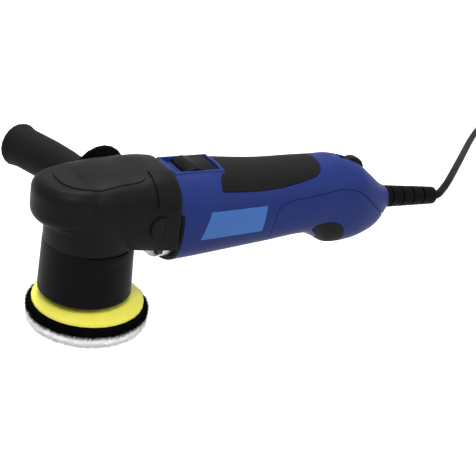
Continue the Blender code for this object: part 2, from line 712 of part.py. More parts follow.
# Case screws, two of them in view under the head's edge
screw_ring = FLANGE_RADIUS - CASE_SCREW_RADIUS - 1.0
screw_tail = VENT_EDGE + 12.0
for index, degrees in enumerate((40.0, 140.0, 218.0, 322.0), start=1):
    angle = math.radians(degrees)
    spot = (0, screw_ring * math.cos(angle), AXIS_Z + screw_ring * math.sin(angle))
    place_axis = axis("case_screw_axis_%d" % index, spot, (1, 0, 0))
    rod("case_screw_%d" % index, (
        (CASE_SCREW_RADIUS, screw_tail), (CASE_SCREW_RADIUS, flange_start - GAP),
        (CASE_SCREW_HEAD, flange_start - GAP), (CASE_SCREW_HEAD, flange_start - GAP - 4.0),
        (CASE_SCREW_HEAD - 0.8, flange_start - GAP - 4.8),
    ), "black", place_axis, 14)
    hole = rod("case_screw_hole_%d" % index, (
        (CASE_SCREW_RADIUS + GAP, screw_tail + 1.0), (CASE_SCREW_RADIUS + GAP, flange_start - 20.0),
    ), None, place_axis, 14)
    cut(case, hole)
screw_holes = [bpy.data.objects["case_screw_hole_%d" % index] for index in (1, 2, 3, 4)]

# Shroud round the eccentric drive
shroud_wall = SHROUD_RADIUS - WALL - 0.8
shroud = turned("shroud", (
    (CASE_RADIUS + GAP, SHROUD_TOP), (SHROUD_TOP_RADIUS, SHROUD_TOP),
    (SHROUD_RADIUS, SHROUD_BOTTOM + 1.0), (SHROUD_RADIUS - 0.8, SHROUD_BOTTOM),
    (shroud_wall, SHROUD_BOTTOM), (shroud_wall, CASE_FLOOR - 1.0), (CASE_RADIUS + GAP, CASE_FLOOR - 1.0),
), "black", spindle_axis, 30, ring=True)
tube_room = rod("tube_room", (
    (FLANGE_RADIUS + 2.0, HEAD_END + 5.0), (FLANGE_RADIUS + 2.0, flange_start - 8.0),
    (TUBE_RADIUS + 0.6, flange_start - 8.0), (TUBE_RADIUS + 0.6, 0.0),
), None, motor_axis, 24)
cut(shroud, tube_room)

# Head cover: neck, nose and block in one moulding
head_low = SHROUD_TOP + GAP
head = rod("head_cover", ((NECK_RADIUS, NECK_TOP), (NECK_RADIUS, head_low - WALL)), "black", spindle_axis, 36)
nose_axis = axis("nose_axis", (NOSE_X, 0, 0))


def nose_form(name, inset, arcs, steps):
    """The rounded front drum of the head."""
    radius = NOSE_RADIUS - inset
    top = NOSE_TOP - inset
    low = NOSE_BOTTOM + inset
    stages = []
    for index in range(arcs + 1):
        angle = math.pi / 2 * (1 - index / arcs)
        stages.append((radius - NOSE_ROUND * (1 - math.cos(angle)), top - NOSE_ROUND * (1 - math.sin(angle))))
    for index in range(arcs + 1):
        angle = math.pi / 2 * index / arcs
        stages.append((radius - NOSE_ROUND * (1 - math.cos(angle)), low + NOSE_ROUND * (1 - math.sin(angle))))
    return rod(name, stages, None, nose_axis, steps)


head_block = loft("head_block", BLOCK, BLOCK_POWER, BLOCK[0][0], HEAD_END)
handle_boss = rod("handle_boss", ((BOSS_RADIUS, GUARD_START + 1.0), (BOSS_RADIUS, 18.0)), None,
                  handle_axis, 24)
join(head, head_block, nose_form("nose_outer", 0.0, 4, 32), handle_boss)
head_trim = block("head_trim", (-90, -90, 0), (90, 90, head_low))
case_room = rod("case_room", (
    (CASE_RADIUS - 4.4, CASE_TOP + 0.6), (CASE_RADIUS + 0.6, CASE_TOP - 4.4), (CASE_RADIUS + 0.6, 20.0),
), None, spindle_axis, 24)
block_hollow = loft("block_hollow", BLOCK, BLOCK_POWER, BLOCK[0][0] + WALL, HEAD_END + 6.0, WALL)
boss_room = rod("boss_room", (
    (STUD_RADIUS + GAP, GUARD_START + 10.0), (STUD_RADIUS + GAP, 36.0 + GAP),
    (2 * STUD_RADIUS + 1.0 + GAP, 36.0 + GAP), (2 * STUD_RADIUS + 1.0 + GAP, 10.0),
), None, handle_axis, 16)
nose_hollow = nose_form("nose_hollow", WALL, 2, 20)
inner_face = block("inner_face", (-90, -90, face_low), (90, 90, 90), None, handle_axis)
outer_face = block("outer_face", (-90, -90, GUARD_START - GAP), (90, 90, 90), None, handle_axis)
guard_room = rod("guard_room", (
    (GUARD_RADIUS + 1.0, STICK_END), (GUARD_RADIUS + 1.0, GUARD_START - GAP),
), None, handle_axis, 32)
cut(shroud, guard_room)
for hollow in (case_room, block_hollow, nose_hollow):
    cut(hollow, inner_face)
cut(head, head_trim, outer_face, case_room, tube_room, block_hollow, nose_hollow, boss_room)

# Side handle
rod("handle_stud", ((STUD_RADIUS, STUD_END - GAP), (STUD_RADIUS, STUD_START)), "steel", handle_axis, 14)
guard_end = GUARD_START + GUARD_THICK
turned("handle_guard", (
    (STUD_RADIUS + GAP, guard_end), (STICK_NECK_RADIUS + 2.0, guard_end),
    (GUARD_RADIUS - 2.0, guard_end - 1.6), (GUARD_RADIUS, guard_end - 2.6),
    (GUARD_RADIUS - 0.8, guard_end - 4.0), (GUARD_RADIUS - 4.0, guard_end - 4.4),
    (BOSS_RADIUS + 1.5, GUARD_START), (STUD_RADIUS + GAP, GUARD_START),
), "black", handle_axis, 24, ring=True)
stick_start = guard_end + GAP
turned("side_handle", (
    (0.0, STICK_END), (STICK_FLANGE_RADIUS - 4.0, STICK_END), (STICK_FLANGE_RADIUS - 0.8, STICK_END - 1.8),
    (STICK_FLANGE_RADIUS, STICK_END - 4.0), (STICK_FLANGE_RADIUS - 0.4, STICK_END - 6.5),
    (STICK_RADIUS, STICK_END - 10.0), (STICK_RADIUS, STICK_END - 40.0),
    (STICK_RADIUS - 1.0, stick_start + 34.0), (STICK_NECK_RADIUS, stick_start + 10.0),
    (STICK_NECK_RADIUS + 0.6, stick_start + 4.0), (STICK_NECK_RADIUS + 2.0, stick_start),
    (STUD_RADIUS + GAP, stick_start), (STUD_RADIUS + GAP, STUD_END), (0.0, STUD_END),
), "rubber", handle_axis, 20)

# Body: one outer form shared by housing halves, grip, lower cover and belly inlay
body_end = BODY[-1][0]
GRIP = [(97.5, 150.0), (96.5, 118.5), (101.0, 116.0), (150.0, 112.0), (192.0, 116.2),
        (199.0, 118.5), (203.0, 124.0), (200.0, 150.0)]
COVER = [(146.0, 20.0), (150.0, 92.0), (154.0, 98.0), (166.0, 101.5), (221.0, 103.5), (241.0, 98.0),
         (268.0, 74.0), (292.0, 58.0), (292.0, 20.0)]
BELLY = [(194.0, 70.0), (199.0, 74.0), (214.0, 74.5), (226.0, 68.0), (231.0, 55.0), (237.0, 20.0),
         (219.0, 20.0), (209.0, 56.0)]
core_form = loft("core_form", BODY, BODY_POWER, VENT_EDGE, body_end - 5.0, SKIN + 2 * GAP)
blank = loft("housing_blank", BODY, BODY_POWER, HOUSING_START, body_end)
cut(blank, side_outline("grip_room", grown(GRIP, GAP), 70.0),
    side_outline("cover_room", grown(COVER, GAP), 70.0))
join(blank, core_form)
motor_room = rod("motor_room", (
    (SHAFT_RADIUS + 1.5, 200.0), (SHAFT_RADIUS + 1.5, REAR_BEARING[2] + 1.0),
    (REAR_BEARING[0] + GAP, REAR_BEARING[2] + 1.0), (REAR_BEARING[0] + GAP, REAR_BEARING[1] - 2.0),
    (26.5, REAR_BEARING[1] - 2.0), (26.5, STATOR_START + STATOR_LENGTH + 4.0),
    (STATOR_RADIUS + GAP, STATOR_START + STATOR_LENGTH + 4.0), (STATOR_RADIUS + GAP, STATOR_START - GAP),
    (STATOR_RADIUS - 3.0, STATOR_START - GAP), (STATOR_RADIUS - 3.0, fan_end + 5.0),
    (FAN_RADIUS + 2.0, fan_end + 2.0), (FAN_RADIUS + 2.0, HOUSING_START - 10.0),
), None, motor_axis, 24)
switch_front = REAR_BEARING[2] + SWITCH_CLEAR
board_front = switch_front + SWITCH_SIZE[0] + BOARD_CLEAR
tail_room = loft("tail_room", BODY, BODY_POWER, switch_front - 4.0, BODY[-2][0] - 0.5, SEAT)
shelf = 4.0
for name, front, underside in (("switch_shelf", switch_front, SWITCH_LOW),
                               ("board_shelf", board_front, BOARD_LOW)):
    cut(tail_room, block(name, (front + 10, -60, 0), (front + 10 + shelf, 60, underside - GAP)))
vent_room = block("vent_room", (HOUSING_START - 20, -70, 0), (VENT_EDGE, 70, VENT_TOP))
switch_room = block("switch_room", (SWITCH_START, -SWITCH_HALF_WIDTH, SWITCH_FLOOR),
                    (SWITCH_START + SWITCH_LENGTH, SWITCH_HALF_WIDTH, 200))
dial_slot = block("dial_slot", (DIAL_X - DIAL_RADIUS - 1.5, -DIAL_WIDTH / 2 - 0.6, DIAL_Z - 18),
                  (DIAL_X + DIAL_RADIUS + 1.5, DIAL_WIDTH / 2 + 0.6, 200))
relief_hole = rod("relief_hole", (
    (RELIEF_NECK_RADIUS + GAP, 20.0), (RELIEF_NECK_RADIUS + GAP, -3.6),
    (RELIEF_NECK_RADIUS + 1.6 + GAP, -3.6), (RELIEF_NECK_RADIUS + 1.6 + GAP, -9.0),
), None, relief_axis, 14)
cut(blank, motor_room, tail_room, vent_room, switch_room, dial_slot, relief_hole, *screw_holes)

# Screws that hold the housing halves together, put in from the far side
HOUSING_SCREWS = ((104.0, 57.8, 9.0), (154.0, 113.0, 11.0), (175.0, 112.0, 11.0), (175.0, 68.0, 11.0))
for index, (x, z, reach) in enumerate(HOUSING_SCREWS, start=1):
    screw_axis = axis("housing_screw_axis_%d" % index, (x, 0, z), (0, 1, 0))
    rod("housing_screw_%d" % index, (
        (1.8 * HOUSING_SCREW_RADIUS, reach + 2.4), (1.8 * HOUSING_SCREW_RADIUS, reach),
        (HOUSING_SCREW_RADIUS, reach), (HOUSING_SCREW_RADIUS, -reach),
    ), "steel", screw_axis, 12)
    cut(blank, rod("housing_screw_hole_%d" % index, (
        (1.8 * HOUSING_SCREW_RADIUS + GAP, 60.0), (1.8 * HOUSING_SCREW_RADIUS + GAP, reach - GAP),
        (HOUSING_SCREW_RADIUS + GAP, reach - GAP), (HOUSING_SCREW_RADIUS + GAP, -reach - 1.0),
    ), None, screw_axis, 12))
whole_housing = frozen(blank)
bpy.data.objects.remove(blank, do_unlink=True)
for side, low, high in (("left", -GAP / 2, 90), ("right", -90, GAP / 2)):
    half = place("housing_" + side, whole_housing.copy(), "blue")
    cut(half, block("trim_" + side, (0, low, 0), (400, high, 200)))

# Skins: the outer form less a smaller one, kept inside their outlines
skin_core = loft("skin_core", BODY, BODY_POWER, HOUSING_START - 0.2, body_end - 2.0, SKIN)
for name, outline, kind in (("top_grip", GRIP, "rubber"), ("lower_cover", COVER, "blue"),
                            ("belly_pad", BELLY, "rubber")):
    skin = loft(name, BODY, BODY_POWER, HOUSING_START, body_end, 0.0, kind)
    cut(skin, skin_core)
    boolean(skin, side_outline(name + "_outline", outline, 70.0), "INTERSECT")
cut(bpy.data.objects["lower_cover"], side_outline("belly_room", grown(BELLY, GAP), 70.0), relief_hole)

# Slide switch, speed dial and what they work on
slider_x = SWITCH_START + SWITCH_LENGTH - GAP - SLIDER_LENGTH / 2
switch_axis = axis("switch_axis", (slider_x, 0, SWITCH_FLOOR + GAP))
slider = block("switch_slider", (-SLIDER_LENGTH / 2, -SWITCH_HALF_WIDTH + GAP, 0),
               (SLIDER_LENGTH / 2, SWITCH_HALF_WIDTH - GAP, SLIDER_HEIGHT), "black", switch_axis)
rounding = slider.modifiers.new("rounding", "BEVEL")
rounding.width = 1.2 * MM
rounding.segments = 2
for index in range(5):
    groove_x = -SLIDER_LENGTH / 2 + SLIDER_LENGTH * (index + 1) / 6
    cut(slider, block("slider_groove_%d" % index, (groove_x - 0.9, -40, SLIDER_HEIGHT - 1.1),
                      (groove_x + 0.9, 40, SLIDER_HEIGHT + 5), None, switch_axis))
dial_half = DIAL_WIDTH / 2
rod("speed_dial", (
    (2.0, dial_half + 2.0), (2.0, dial_half), (DIAL_RADIUS - 0.8, dial_half), (DIAL_RADIUS, dial_half - 0.8),
    (DIAL_RADIUS, 0.8 - dial_half), (DIAL_RADIUS - 0.8, -dial_half), (2.0, -dial_half),
    (2.0, -dial_half - 2.0),
), "black", dial_axis, 18)
block("switch_module", (switch_front, -SWITCH_SIZE[1] / 2, SWITCH_LOW),
      (switch_front + SWITCH_SIZE[0], SWITCH_SIZE[1] / 2, SWITCH_LOW + SWITCH_SIZE[2]), "black")
block("speed_controller", (board_front, -BOARD_SIZE[1] / 2, BOARD_LOW),
      (board_front + BOARD_SIZE[0], BOARD_SIZE[1] / 2, DIAL_Z - DIAL_RADIUS - 2.0), "board")

# Strain relief and the cord through it
relief_bore = CORD_RADIUS + 2 * GAP
relief_stages = [(relief_bore, RELIEF_LENGTH)]
ribs = 4
rib_step = (RELIEF_LENGTH - 8.0) / ribs
for index in range(ribs):
    low = 4.0 + rib_step * (ribs - 1 - index)
    top = low + rib_step
    outer_top = RELIEF_RADIUS + (RELIEF_END_RADIUS - RELIEF_RADIUS) * top / RELIEF_LENGTH
    outer_low = RELIEF_RADIUS + (RELIEF_END_RADIUS - RELIEF_RADIUS) * low / RELIEF_LENGTH
    if index == 0:
        relief_stages.append((RELIEF_END_RADIUS - 0.5, RELIEF_LENGTH))
        relief_stages.append((RELIEF_END_RADIUS, RELIEF_LENGTH - 0.6))
    relief_stages += [(outer_top, top), (outer_low, low + 1.6), (outer_low - 1.6, low + 1.6),
                      (outer_low - 1.6, low)]
relief_stages += [
    (RELIEF_RADIUS, 4.0), (RELIEF_RADIUS, 0.0), (RELIEF_NECK_RADIUS, 0.0), (RELIEF_NECK_RADIUS, -4.0),
    (RELIEF_NECK_RADIUS + 1.6, -4.0), (RELIEF_NECK_RADIUS + 1.6, -7.5), (relief_bore, -7.5),
]
turned("strain_relief", relief_stages, "black", relief_axis, 14, ring=True)
clamp_centre = RELIEF_BASE - 17.0 * relief_line
clamp_axis = axis("clamp_axis", clamp_centre, relief_line)
clamp = block("cable_clamp", (-6.5, -8.0, -3.0), (6.5, 8.0, 3.0), "black", clamp_axis)
cut(clamp, rod("clamp_bore", ((CORD_RADIUS + GAP, 10.0), (CORD_RADIUS + GAP, -10.0)), None, clamp_axis, 16))

coil_low = TIE_THICK + 2 * GAP + CORD_RADIUS
coil_high = coil_low + 2 * CORD_RADIUS + 0.5
cord_low = CORD_RADIUS + GAP
relief_mouth = RELIEF_BASE + RELIEF_LENGTH * relief_line
entry = COIL_CENTRE + Vector((0, COIL_RADIUS, coil_low))
ROUTE = (
    RELIEF_BASE - 22.0 * relief_line, RELIEF_BASE + 20.0 * relief_line, relief_mouth,
    relief_mouth + Vector((9.0, 2.0, -0.9)), (372.0, 14.5, 68.6), (396.0, 34.5, 65.5), (474.0, 106.0, 47.5),
    (583.0, 208.0, 17.5), (641.0, 259.0, cord_low), (672.0, 280.0, cord_low), (706.0, 293.0, cord_low + 0.4),
    entry - Vector((26.0, 0.6, 0.3)), entry - Vector((4 * GAP, 0, 0)),
)
cord_points, cord_length = smooth_route(ROUTE, 3.4 * CORD_RADIUS)
tube("cord_run", cord_points, CORD_RADIUS, "rubber", 2)


def coil_points():
    """Down in from the outside, up a layer over half a turn, and out again on top."""
    inner = COIL_RADIUS - COIL_PITCH * COIL_TURNS
    first = 2 * math.pi * COIL_TURNS
    climb = math.pi
    last = 2 * math.pi * (COIL_TURNS - 0.25)
    total = first + climb + last
    count = round(20 * total / (2 * math.pi))
    points = []
    for index in range(count + 1):
        turn = total * index / count
        radius = COIL_RADIUS - COIL_PITCH * turn / (2 * math.pi)
        height = coil_low
        if turn > first + climb:
            radius = inner + COIL_PITCH * (turn - first - climb) / (2 * math.pi)
            height = coil_high
        elif turn > first:
            share = (turn - first) / climb
            radius = inner - 2.2 * math.sin(math.pi * share)
            height = coil_low + (coil_high - coil_low) * (3 * share ** 2 - 2 * share ** 3)
        angle = math.pi / 2 - turn
        points.append(COIL_CENTRE + Vector((radius * math.cos(angle), radius * math.sin(angle), height)))
    lead = (points[-1] - points[-2]).normalized() * PLUG_LEAD / 3
    return points + [points[-1] + lead * step for step in (1, 2, 3)]


def least_gap(points, radius, skip):
    """Smallest clear distance between parts of a tube that are well apart along it."""
    best = 1e9
    pieces = list(zip(points, points[1:]))
    for index, (a, b) in enumerate(pieces):
        for other in range(index + skip, len(pieces)):
            c, d = pieces[other]
            if (a - c).length > 6 * radius + (b - a).length:
                continue
            for s in range(5):
                p = a.lerp(b, s / 4)
                share = max(0.0, min(1.0, (p - c).dot(d - c) / (d - c).length_squared))
                best = min(best, (p - c.lerp(d, share)).length - 2 * radius)
    return best


coil = coil_points()
coil_length = sum((b - a).length for a, b in zip(coil, coil[1:]))
tube("cord_coil", coil, CORD_RADIUS, "rubber", 1)
print("coil least gap %.2f mm" % least_gap(coil, CORD_RADIUS, 8))
print("cord length %.0f mm, of it in the coil %.0f mm" % (cord_length + coil_length, coil_length))

# A strap round one side of the coil
tie_turn = math.radians(225.0)
tie_axis = axis("tie_axis", COIL_CENTRE, (0, 0, 1))
tie_axis.rotation_quaternion = Matrix.Rotation(tie_turn, 3, "Z").to_quaternion()
tie_near = COIL_RADIUS - COIL_PITCH * COIL_TURNS - 2.2 - CORD_RADIUS - 3 * GAP
tie_far = COIL_RADIUS + CORD_RADIUS + 2 * GAP
tie_high = coil_high + CORD_RADIUS + 2 * GAP
tie = block("coil_tie", (tie_near - TIE_THICK, -TIE_WIDTH / 2, 0),
            (tie_far + TIE_THICK, TIE_WIDTH / 2, tie_high + TIE_THICK), "rubber", tie_axis)
cut(tie, block("tie_room", (tie_near, -20, TIE_THICK), (tie_far, 20, tie_high), None, tie_axis))

# Plug with two round pins, beside the coil
plug_radius = coil_high - 2 * GAP
plug_line = (coil[-1] - coil[-2]).normalized()
plug_line.z = 0.0
plug_axis = axis("plug_axis", coil[-1] + plug_line * GAP, plug_line)
plug = rod("mains_plug", (
    (plug_radius - 0.8, PLUG_LENGTH), (plug_radius, PLUG_LENGTH - 0.8), (plug_radius, PLUG_LENGTH - 10.0),
    (plug_radius - 2.5, PLUG_LENGTH - 15.0), (CORD_RADIUS + 2.6, PLUG_LENGTH - 22.0),
    (CORD_RADIUS + 1.6, 0.0),
), "black", plug_axis, 20)
for index, sign in ((1, -1), (2, 1)):
    pin_axis = axis("pin_axis_%d" % index, (sign * PIN_SPACING / 2, 0, PLUG_LENGTH), (0, 0, 1), plug_axis)
    rod("plug_pin_%d" % index, (
        (PIN_RADIUS - 0.8, PIN_LENGTH), (PIN_RADIUS, PIN_LENGTH - 0.8), (PIN_RADIUS, -5.0),
    ), "steel", pin_axis, 12)
    cut(plug, rod("pin_hole_%d" % index, (
        (PIN_RADIUS + GAP, 5.0), (PIN_RADIUS + GAP, -5.0 - GAP),
    ), None, pin_axis, 12))
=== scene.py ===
"""Looks of the dual action polisher: finer skins, wool, cord, materials, light and camera."""
import json
import math
import random

import bmesh
import bpy
from mathutils import Matrix, Vector, noise


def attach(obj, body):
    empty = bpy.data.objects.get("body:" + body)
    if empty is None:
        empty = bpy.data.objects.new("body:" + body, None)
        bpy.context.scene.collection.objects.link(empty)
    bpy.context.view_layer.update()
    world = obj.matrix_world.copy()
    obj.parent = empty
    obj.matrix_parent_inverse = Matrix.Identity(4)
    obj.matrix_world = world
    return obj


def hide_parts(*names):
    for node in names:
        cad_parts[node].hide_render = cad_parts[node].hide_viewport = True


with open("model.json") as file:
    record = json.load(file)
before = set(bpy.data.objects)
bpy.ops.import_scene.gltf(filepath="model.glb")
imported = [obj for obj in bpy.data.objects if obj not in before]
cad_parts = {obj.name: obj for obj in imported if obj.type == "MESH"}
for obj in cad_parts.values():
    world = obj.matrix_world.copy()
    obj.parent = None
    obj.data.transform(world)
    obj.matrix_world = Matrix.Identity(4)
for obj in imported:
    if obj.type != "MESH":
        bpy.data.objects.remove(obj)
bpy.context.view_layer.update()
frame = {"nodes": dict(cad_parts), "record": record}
NODES = frame["nodes"]
SLOT_OF = {s["node"]: s["material_slot"] for s in frame["record"]["subparts"]}
MM = 0.001
TURN = 2 * math.pi
random.seed(7)
scene = bpy.context.scene

# Sizes shared with the solids, in millimetres
GAP = 0.3
AXIS_Z = 90.5
ORBIT = 4.0
WOOL_RADIUS = 49.0
WOOL_HEIGHT = 10.0
FLEECE_RADIUS = 49.5
FLEECE_LOW = 10.3
FLEECE_TOP = 15.7
SHROUD_TOP = 74.0
NECK_RADIUS = 36.0
NOSE_BOTTOM = 93.0
NOSE_TOP = 127.5
NOSE_ROUND = 10.0
HEAD_END = 58.5
HOUSING_START = 58.8
VENT_EDGE = 61.8
VENT_TOP = 104.0
HANDLE_BASE = Vector((35.4, 0.0, 98.0))
HANDLE_SWEEP = math.radians(19.0)
GUARD_START = 41.0
CORD_RADIUS = 3.7
RELIEF_BASE = Vector((287.6, 0.0, 76.9))
RELIEF_DROOP = math.radians(5.5)
RELIEF_LENGTH = 58.5
COIL_CENTRE = Vector((765.0, 250.0, 0.0))
COIL_LAYER_GAP = 0.5
STRAP_THICK = 1.0
PLUG_LINE = 46.5
PLUG_LEAD = 34.0
# Stations along X: place, middle's height, half width, half height
BODY = (
    (HOUSING_START - 0.3, 90.7, 39.8, 39.8),
    (80.0, 91.1, 39.3, 39.3),
    (96.0, 91.2, 38.6, 38.6),
    (150.0, 89.9, 34.7, 34.7),
    (193.0, 90.3, 32.9, 33.0),
    (209.0, 87.0, 31.2, 36.3),
    (222.0, 83.5, 30.0, 40.0),
    (246.0, 80.0, 28.0, 36.4),
    (262.0, 76.4, 24.0, 28.7),
    (273.0, 74.5, 19.4, 21.6),
    (281.0, 75.6, 14.4, 14.6),
    (286.0, 76.8, 11.0, 11.0),
)
BODY_POWER = 2.25
BLOCK_POWER = 3.0
# Outlines seen from the side: x, z
COVER = [(146.0, 20.0), (150.0, 92.0), (154.0, 98.0), (166.0, 101.5), (221.0, 103.5), (241.0, 98.0),
         (268.0, 74.0), (292.0, 58.0), (292.0, 20.0)]
BELLY = [(194.0, 70.0), (199.0, 74.0), (214.0, 74.5), (226.0, 68.0), (231.0, 55.0), (237.0, 20.0),
         (219.0, 20.0), (209.0, 56.0)]

# Sizes of the scene alone: finer than the solids, or nearer to the photograph
SKIN = 1.0
SEAM = 0.7
NOSE_X = -15.5
NOSE_RADIUS = 33.0
COIL_RADIUS = 52.5
COIL_PITCH = 7.6
COIL_TURNS = 2.5
BLOCK = (
    (-24.0, 111.0, 25.0, 13.0),
    (-12.0, 109.5, 35.0, 19.0),
    (8.0, 105.5, 38.0, 26.0),
    (22.0, 101.0, 39.0, 31.0),
    (42.0, 98.0, 39.6, 35.5),
    (HEAD_END, 91.2, 40.0, 40.6),
)
# Corners of the switch's frame, foot and top: x, half width, height
SWITCH_FRAME = ((59.6, 21.0, 120.5), (106.6, 21.0, 119.0), (61.0, 15.8, 129.7), (105.6, 15.8, 128.4))
SLIDER = [(72.2, 126.1), (72.2, 127.4), (73.6, 128.6), (78.6, 130.5), (81.8, 130.8), (84.6, 130.0),
          (89.0, 129.0), (95.0, 128.7), (100.4, 128.6), (101.3, 127.8), (101.3, 126.1)]
SLIDER_HALF = 13.4
GRIP = [(107.5, 150.0), (107.5, 126.6), (100.0, 124.0), (97.6, 116.6), (118.0, 114.3), (134.0, 113.0),
        (146.0, 112.5), (158.0, 112.7), (172.0, 113.9), (192.0, 116.2), (199.0, 118.5), (203.0, 124.0),
        (200.0, 150.0)]

# Camera, at the photograph's angle
CAMERA_PLACE = Vector((-369.2, -753.7, 507.6))
CAMERA_BACK = Vector((-0.5004, -0.7419, 0.4462))
CAMERA_RIGHT = Vector((0.829, -0.5592, 0.0))
CAMERA_ROLL = math.radians(8.8)
FOCAL_PIXELS = 1200.0
PICTURE_PIXELS = 476.0
SENSOR = 36.0


def set_camera():
    back = CAMERA_BACK.normalized()
    right = CAMERA_RIGHT.normalized()
    up = back.cross(right).normalized()
    across = right * math.cos(CAMERA_ROLL) + up * math.sin(CAMERA_ROLL)
    upward = up * math.cos(CAMERA_ROLL) - right * math.sin(CAMERA_ROLL)
    lens = bpy.data.cameras.new("camera")
    lens.sensor_fit = "HORIZONTAL"
    lens.sensor_width = SENSOR
    lens.lens = FOCAL_PIXELS / PICTURE_PIXELS * SENSOR
    lens.clip_start = 0.05
    lens.clip_end = 30.0
    camera = bpy.data.objects.new("camera", lens)
    turn = Matrix((across, upward, back)).transposed().to_4x4()
    camera.matrix_world = Matrix.Translation(CAMERA_PLACE * MM) @ turn
    scene.collection.objects.link(camera)
    scene.camera = camera


set_camera()
scene.view_settings.view_transform = "Standard"


# Materials
SHEEN_ROUGHNESS = 0.6
GLOSS_SWING = 0.08
BROAD_DETAIL = 4.0
FINE_DETAIL = 3.0
RAMP_ENDS = (0.3, 0.7)
BUMP_GAIN = 8


def socket(shader, name, value):
    shader.inputs[name].default_value = value


def procedural(name, dark, light, rough, metallic=0.0, patch=60.0, grain=1500.0, depth=0.05,
               specular=0.5, sheen=0.0, weave=None, stretch=None):
    """A surface with a slight change of colour over it, a changing gloss and a fine grain."""
    mat = bpy.data.materials.new(name)
    mat.use_nodes = True
    tree = mat.node_tree
    shader = tree.nodes["Principled BSDF"]
    socket(shader, "Metallic", metallic)
    socket(shader, "Specular IOR Level", specular)
    if sheen:
        socket(shader, "Sheen Weight", sheen)
        socket(shader, "Sheen Roughness", SHEEN_ROUGHNESS)
    coords = tree.nodes.new("ShaderNodeTexCoord")
    source = coords.outputs["Object"]
    if stretch:
        mapping = tree.nodes.new("ShaderNodeMapping")
        mapping.inputs["Scale"].default_value = stretch
        tree.links.new(source, mapping.inputs["Vector"])
        source = mapping.outputs["Vector"]
    broad = tree.nodes.new("ShaderNodeTexNoise")
    broad.inputs["Scale"].default_value = patch
    broad.inputs["Detail"].default_value = BROAD_DETAIL
    tree.links.new(source, broad.inputs["Vector"])
    ramp = tree.nodes.new("ShaderNodeValToRGB")
    for element, place, colour in zip(ramp.color_ramp.elements, RAMP_ENDS, (dark, light)):
        element.position = place
        element.color = (*colour, 1.0)
    tree.links.new(broad.outputs["Fac"], ramp.inputs["Fac"])
    tree.links.new(ramp.outputs["Color"], shader.inputs["Base Color"])
    gloss = tree.nodes.new("ShaderNodeMapRange")
    gloss.inputs["To Min"].default_value = rough - GLOSS_SWING
    gloss.inputs["To Max"].default_value = rough + GLOSS_SWING
    tree.links.new(broad.outputs["Fac"], gloss.inputs["Value"])
    tree.links.new(gloss.outputs["Result"], shader.inputs["Roughness"])
    if weave == "cells":
        fine = tree.nodes.new("ShaderNodeTexVoronoi")
        fine.inputs["Scale"].default_value = grain
        height = fine.outputs["Distance"]
    else:
        fine = tree.nodes.new("ShaderNodeTexNoise")
        fine.inputs["Scale"].default_value = grain
        fine.inputs["Detail"].default_value = FINE_DETAIL
        height = fine.outputs["Fac"]
    tree.links.new(source, fine.inputs["Vector"])
    bump = tree.nodes.new("ShaderNodeBump")
    bump.inputs["Strength"].default_value = min(1.0, depth * BUMP_GAIN)
    bump.inputs["Distance"].default_value = depth * MM
    tree.links.new(height, bump.inputs["Height"])
    tree.links.new(bump.outputs["Normal"], shader.inputs["Normal"])
    return mat


MATS = {
    "blue_plastic": procedural("blue_plastic", (0.0130, 0.0245, 0.1230), (0.0152, 0.0278, 0.1380), 0.45,
                               grain=1900.0, depth=0.035, patch=40.0, specular=0.06),
    "black_plastic": procedural("black_plastic", (0.0044, 0.0044, 0.0045), (0.0064, 0.0064, 0.0066), 0.46,
                                grain=1500.0, depth=0.05, patch=50.0, specular=0.06),
    "black_steel": procedural("black_steel", (0.010, 0.010, 0.011), (0.022, 0.022, 0.024), 0.42,
                              metallic=0.6, grain=900.0, depth=0.03, patch=300.0),
    "grip_rubber": procedural("grip_rubber", (0.0070, 0.0065, 0.0064), (0.0092, 0.0086, 0.0084), 0.62,
                              grain=900.0, depth=0.10, patch=70.0, weave="cells", specular=0.05),
    "cord_rubber": procedural("cord_rubber", (0.0022, 0.0022, 0.0023), (0.0036, 0.0036, 0.0037), 0.55,
                              grain=1300.0, depth=0.04, patch=90.0, specular=0.03),
    "yellow_plastic": procedural("yellow_plastic", (0.860, 0.800, 0.095), (0.900, 0.850, 0.118), 0.42,
                                 grain=1700.0, depth=0.03, patch=50.0),
    "wool": procedural("wool", (0.935, 0.930, 0.918), (0.985, 0.982, 0.975), 0.90, grain=700.0, depth=0.15,
                       patch=220.0, specular=0.2, sheen=0.3),
    "fleece": procedural("fleece", (0.0010, 0.0010, 0.0010), (0.0030, 0.0030, 0.0030), 0.90, grain=1200.0,
                         depth=0.25, patch=260.0, specular=0.02),
    "aluminium_cast": procedural("aluminium_cast", (0.52, 0.52, 0.53), (0.66, 0.66, 0.67), 0.36, metallic=1.0,
                                 grain=1100.0, depth=0.08, patch=180.0),
    "steel": procedural("steel", (0.50, 0.51, 0.52), (0.62, 0.62, 0.63), 0.28, metallic=1.0, grain=2200.0,
                        depth=0.02, patch=120.0, stretch=(1.0, 1.0, 8.0)),
    "copper": procedural("copper", (0.58, 0.27, 0.13), (0.74, 0.36, 0.19), 0.32, metallic=1.0, grain=1500.0,
                         depth=0.03, patch=160.0),
    "iron": procedural("iron", (0.10, 0.10, 0.105), (0.19, 0.19, 0.195), 0.55, metallic=0.9, grain=1200.0,
                       depth=0.05, patch=140.0, stretch=(14.0, 1.0, 1.0)),
    "carbon": procedural("carbon", (0.020, 0.020, 0.021), (0.040, 0.040, 0.041), 0.65, grain=2500.0,
                         depth=0.04, patch=320.0),
    "board": procedural("board", (0.020, 0.085, 0.040), (0.030, 0.120, 0.060), 0.45, grain=700.0, depth=0.05,
                        patch=150.0),
}
LABEL = procedural("label_foil", (0.040, 0.122, 0.370), (0.048, 0.138, 0.405), 0.34,
                   grain=2400.0, depth=0.012, patch=25.0, specular=0.12)
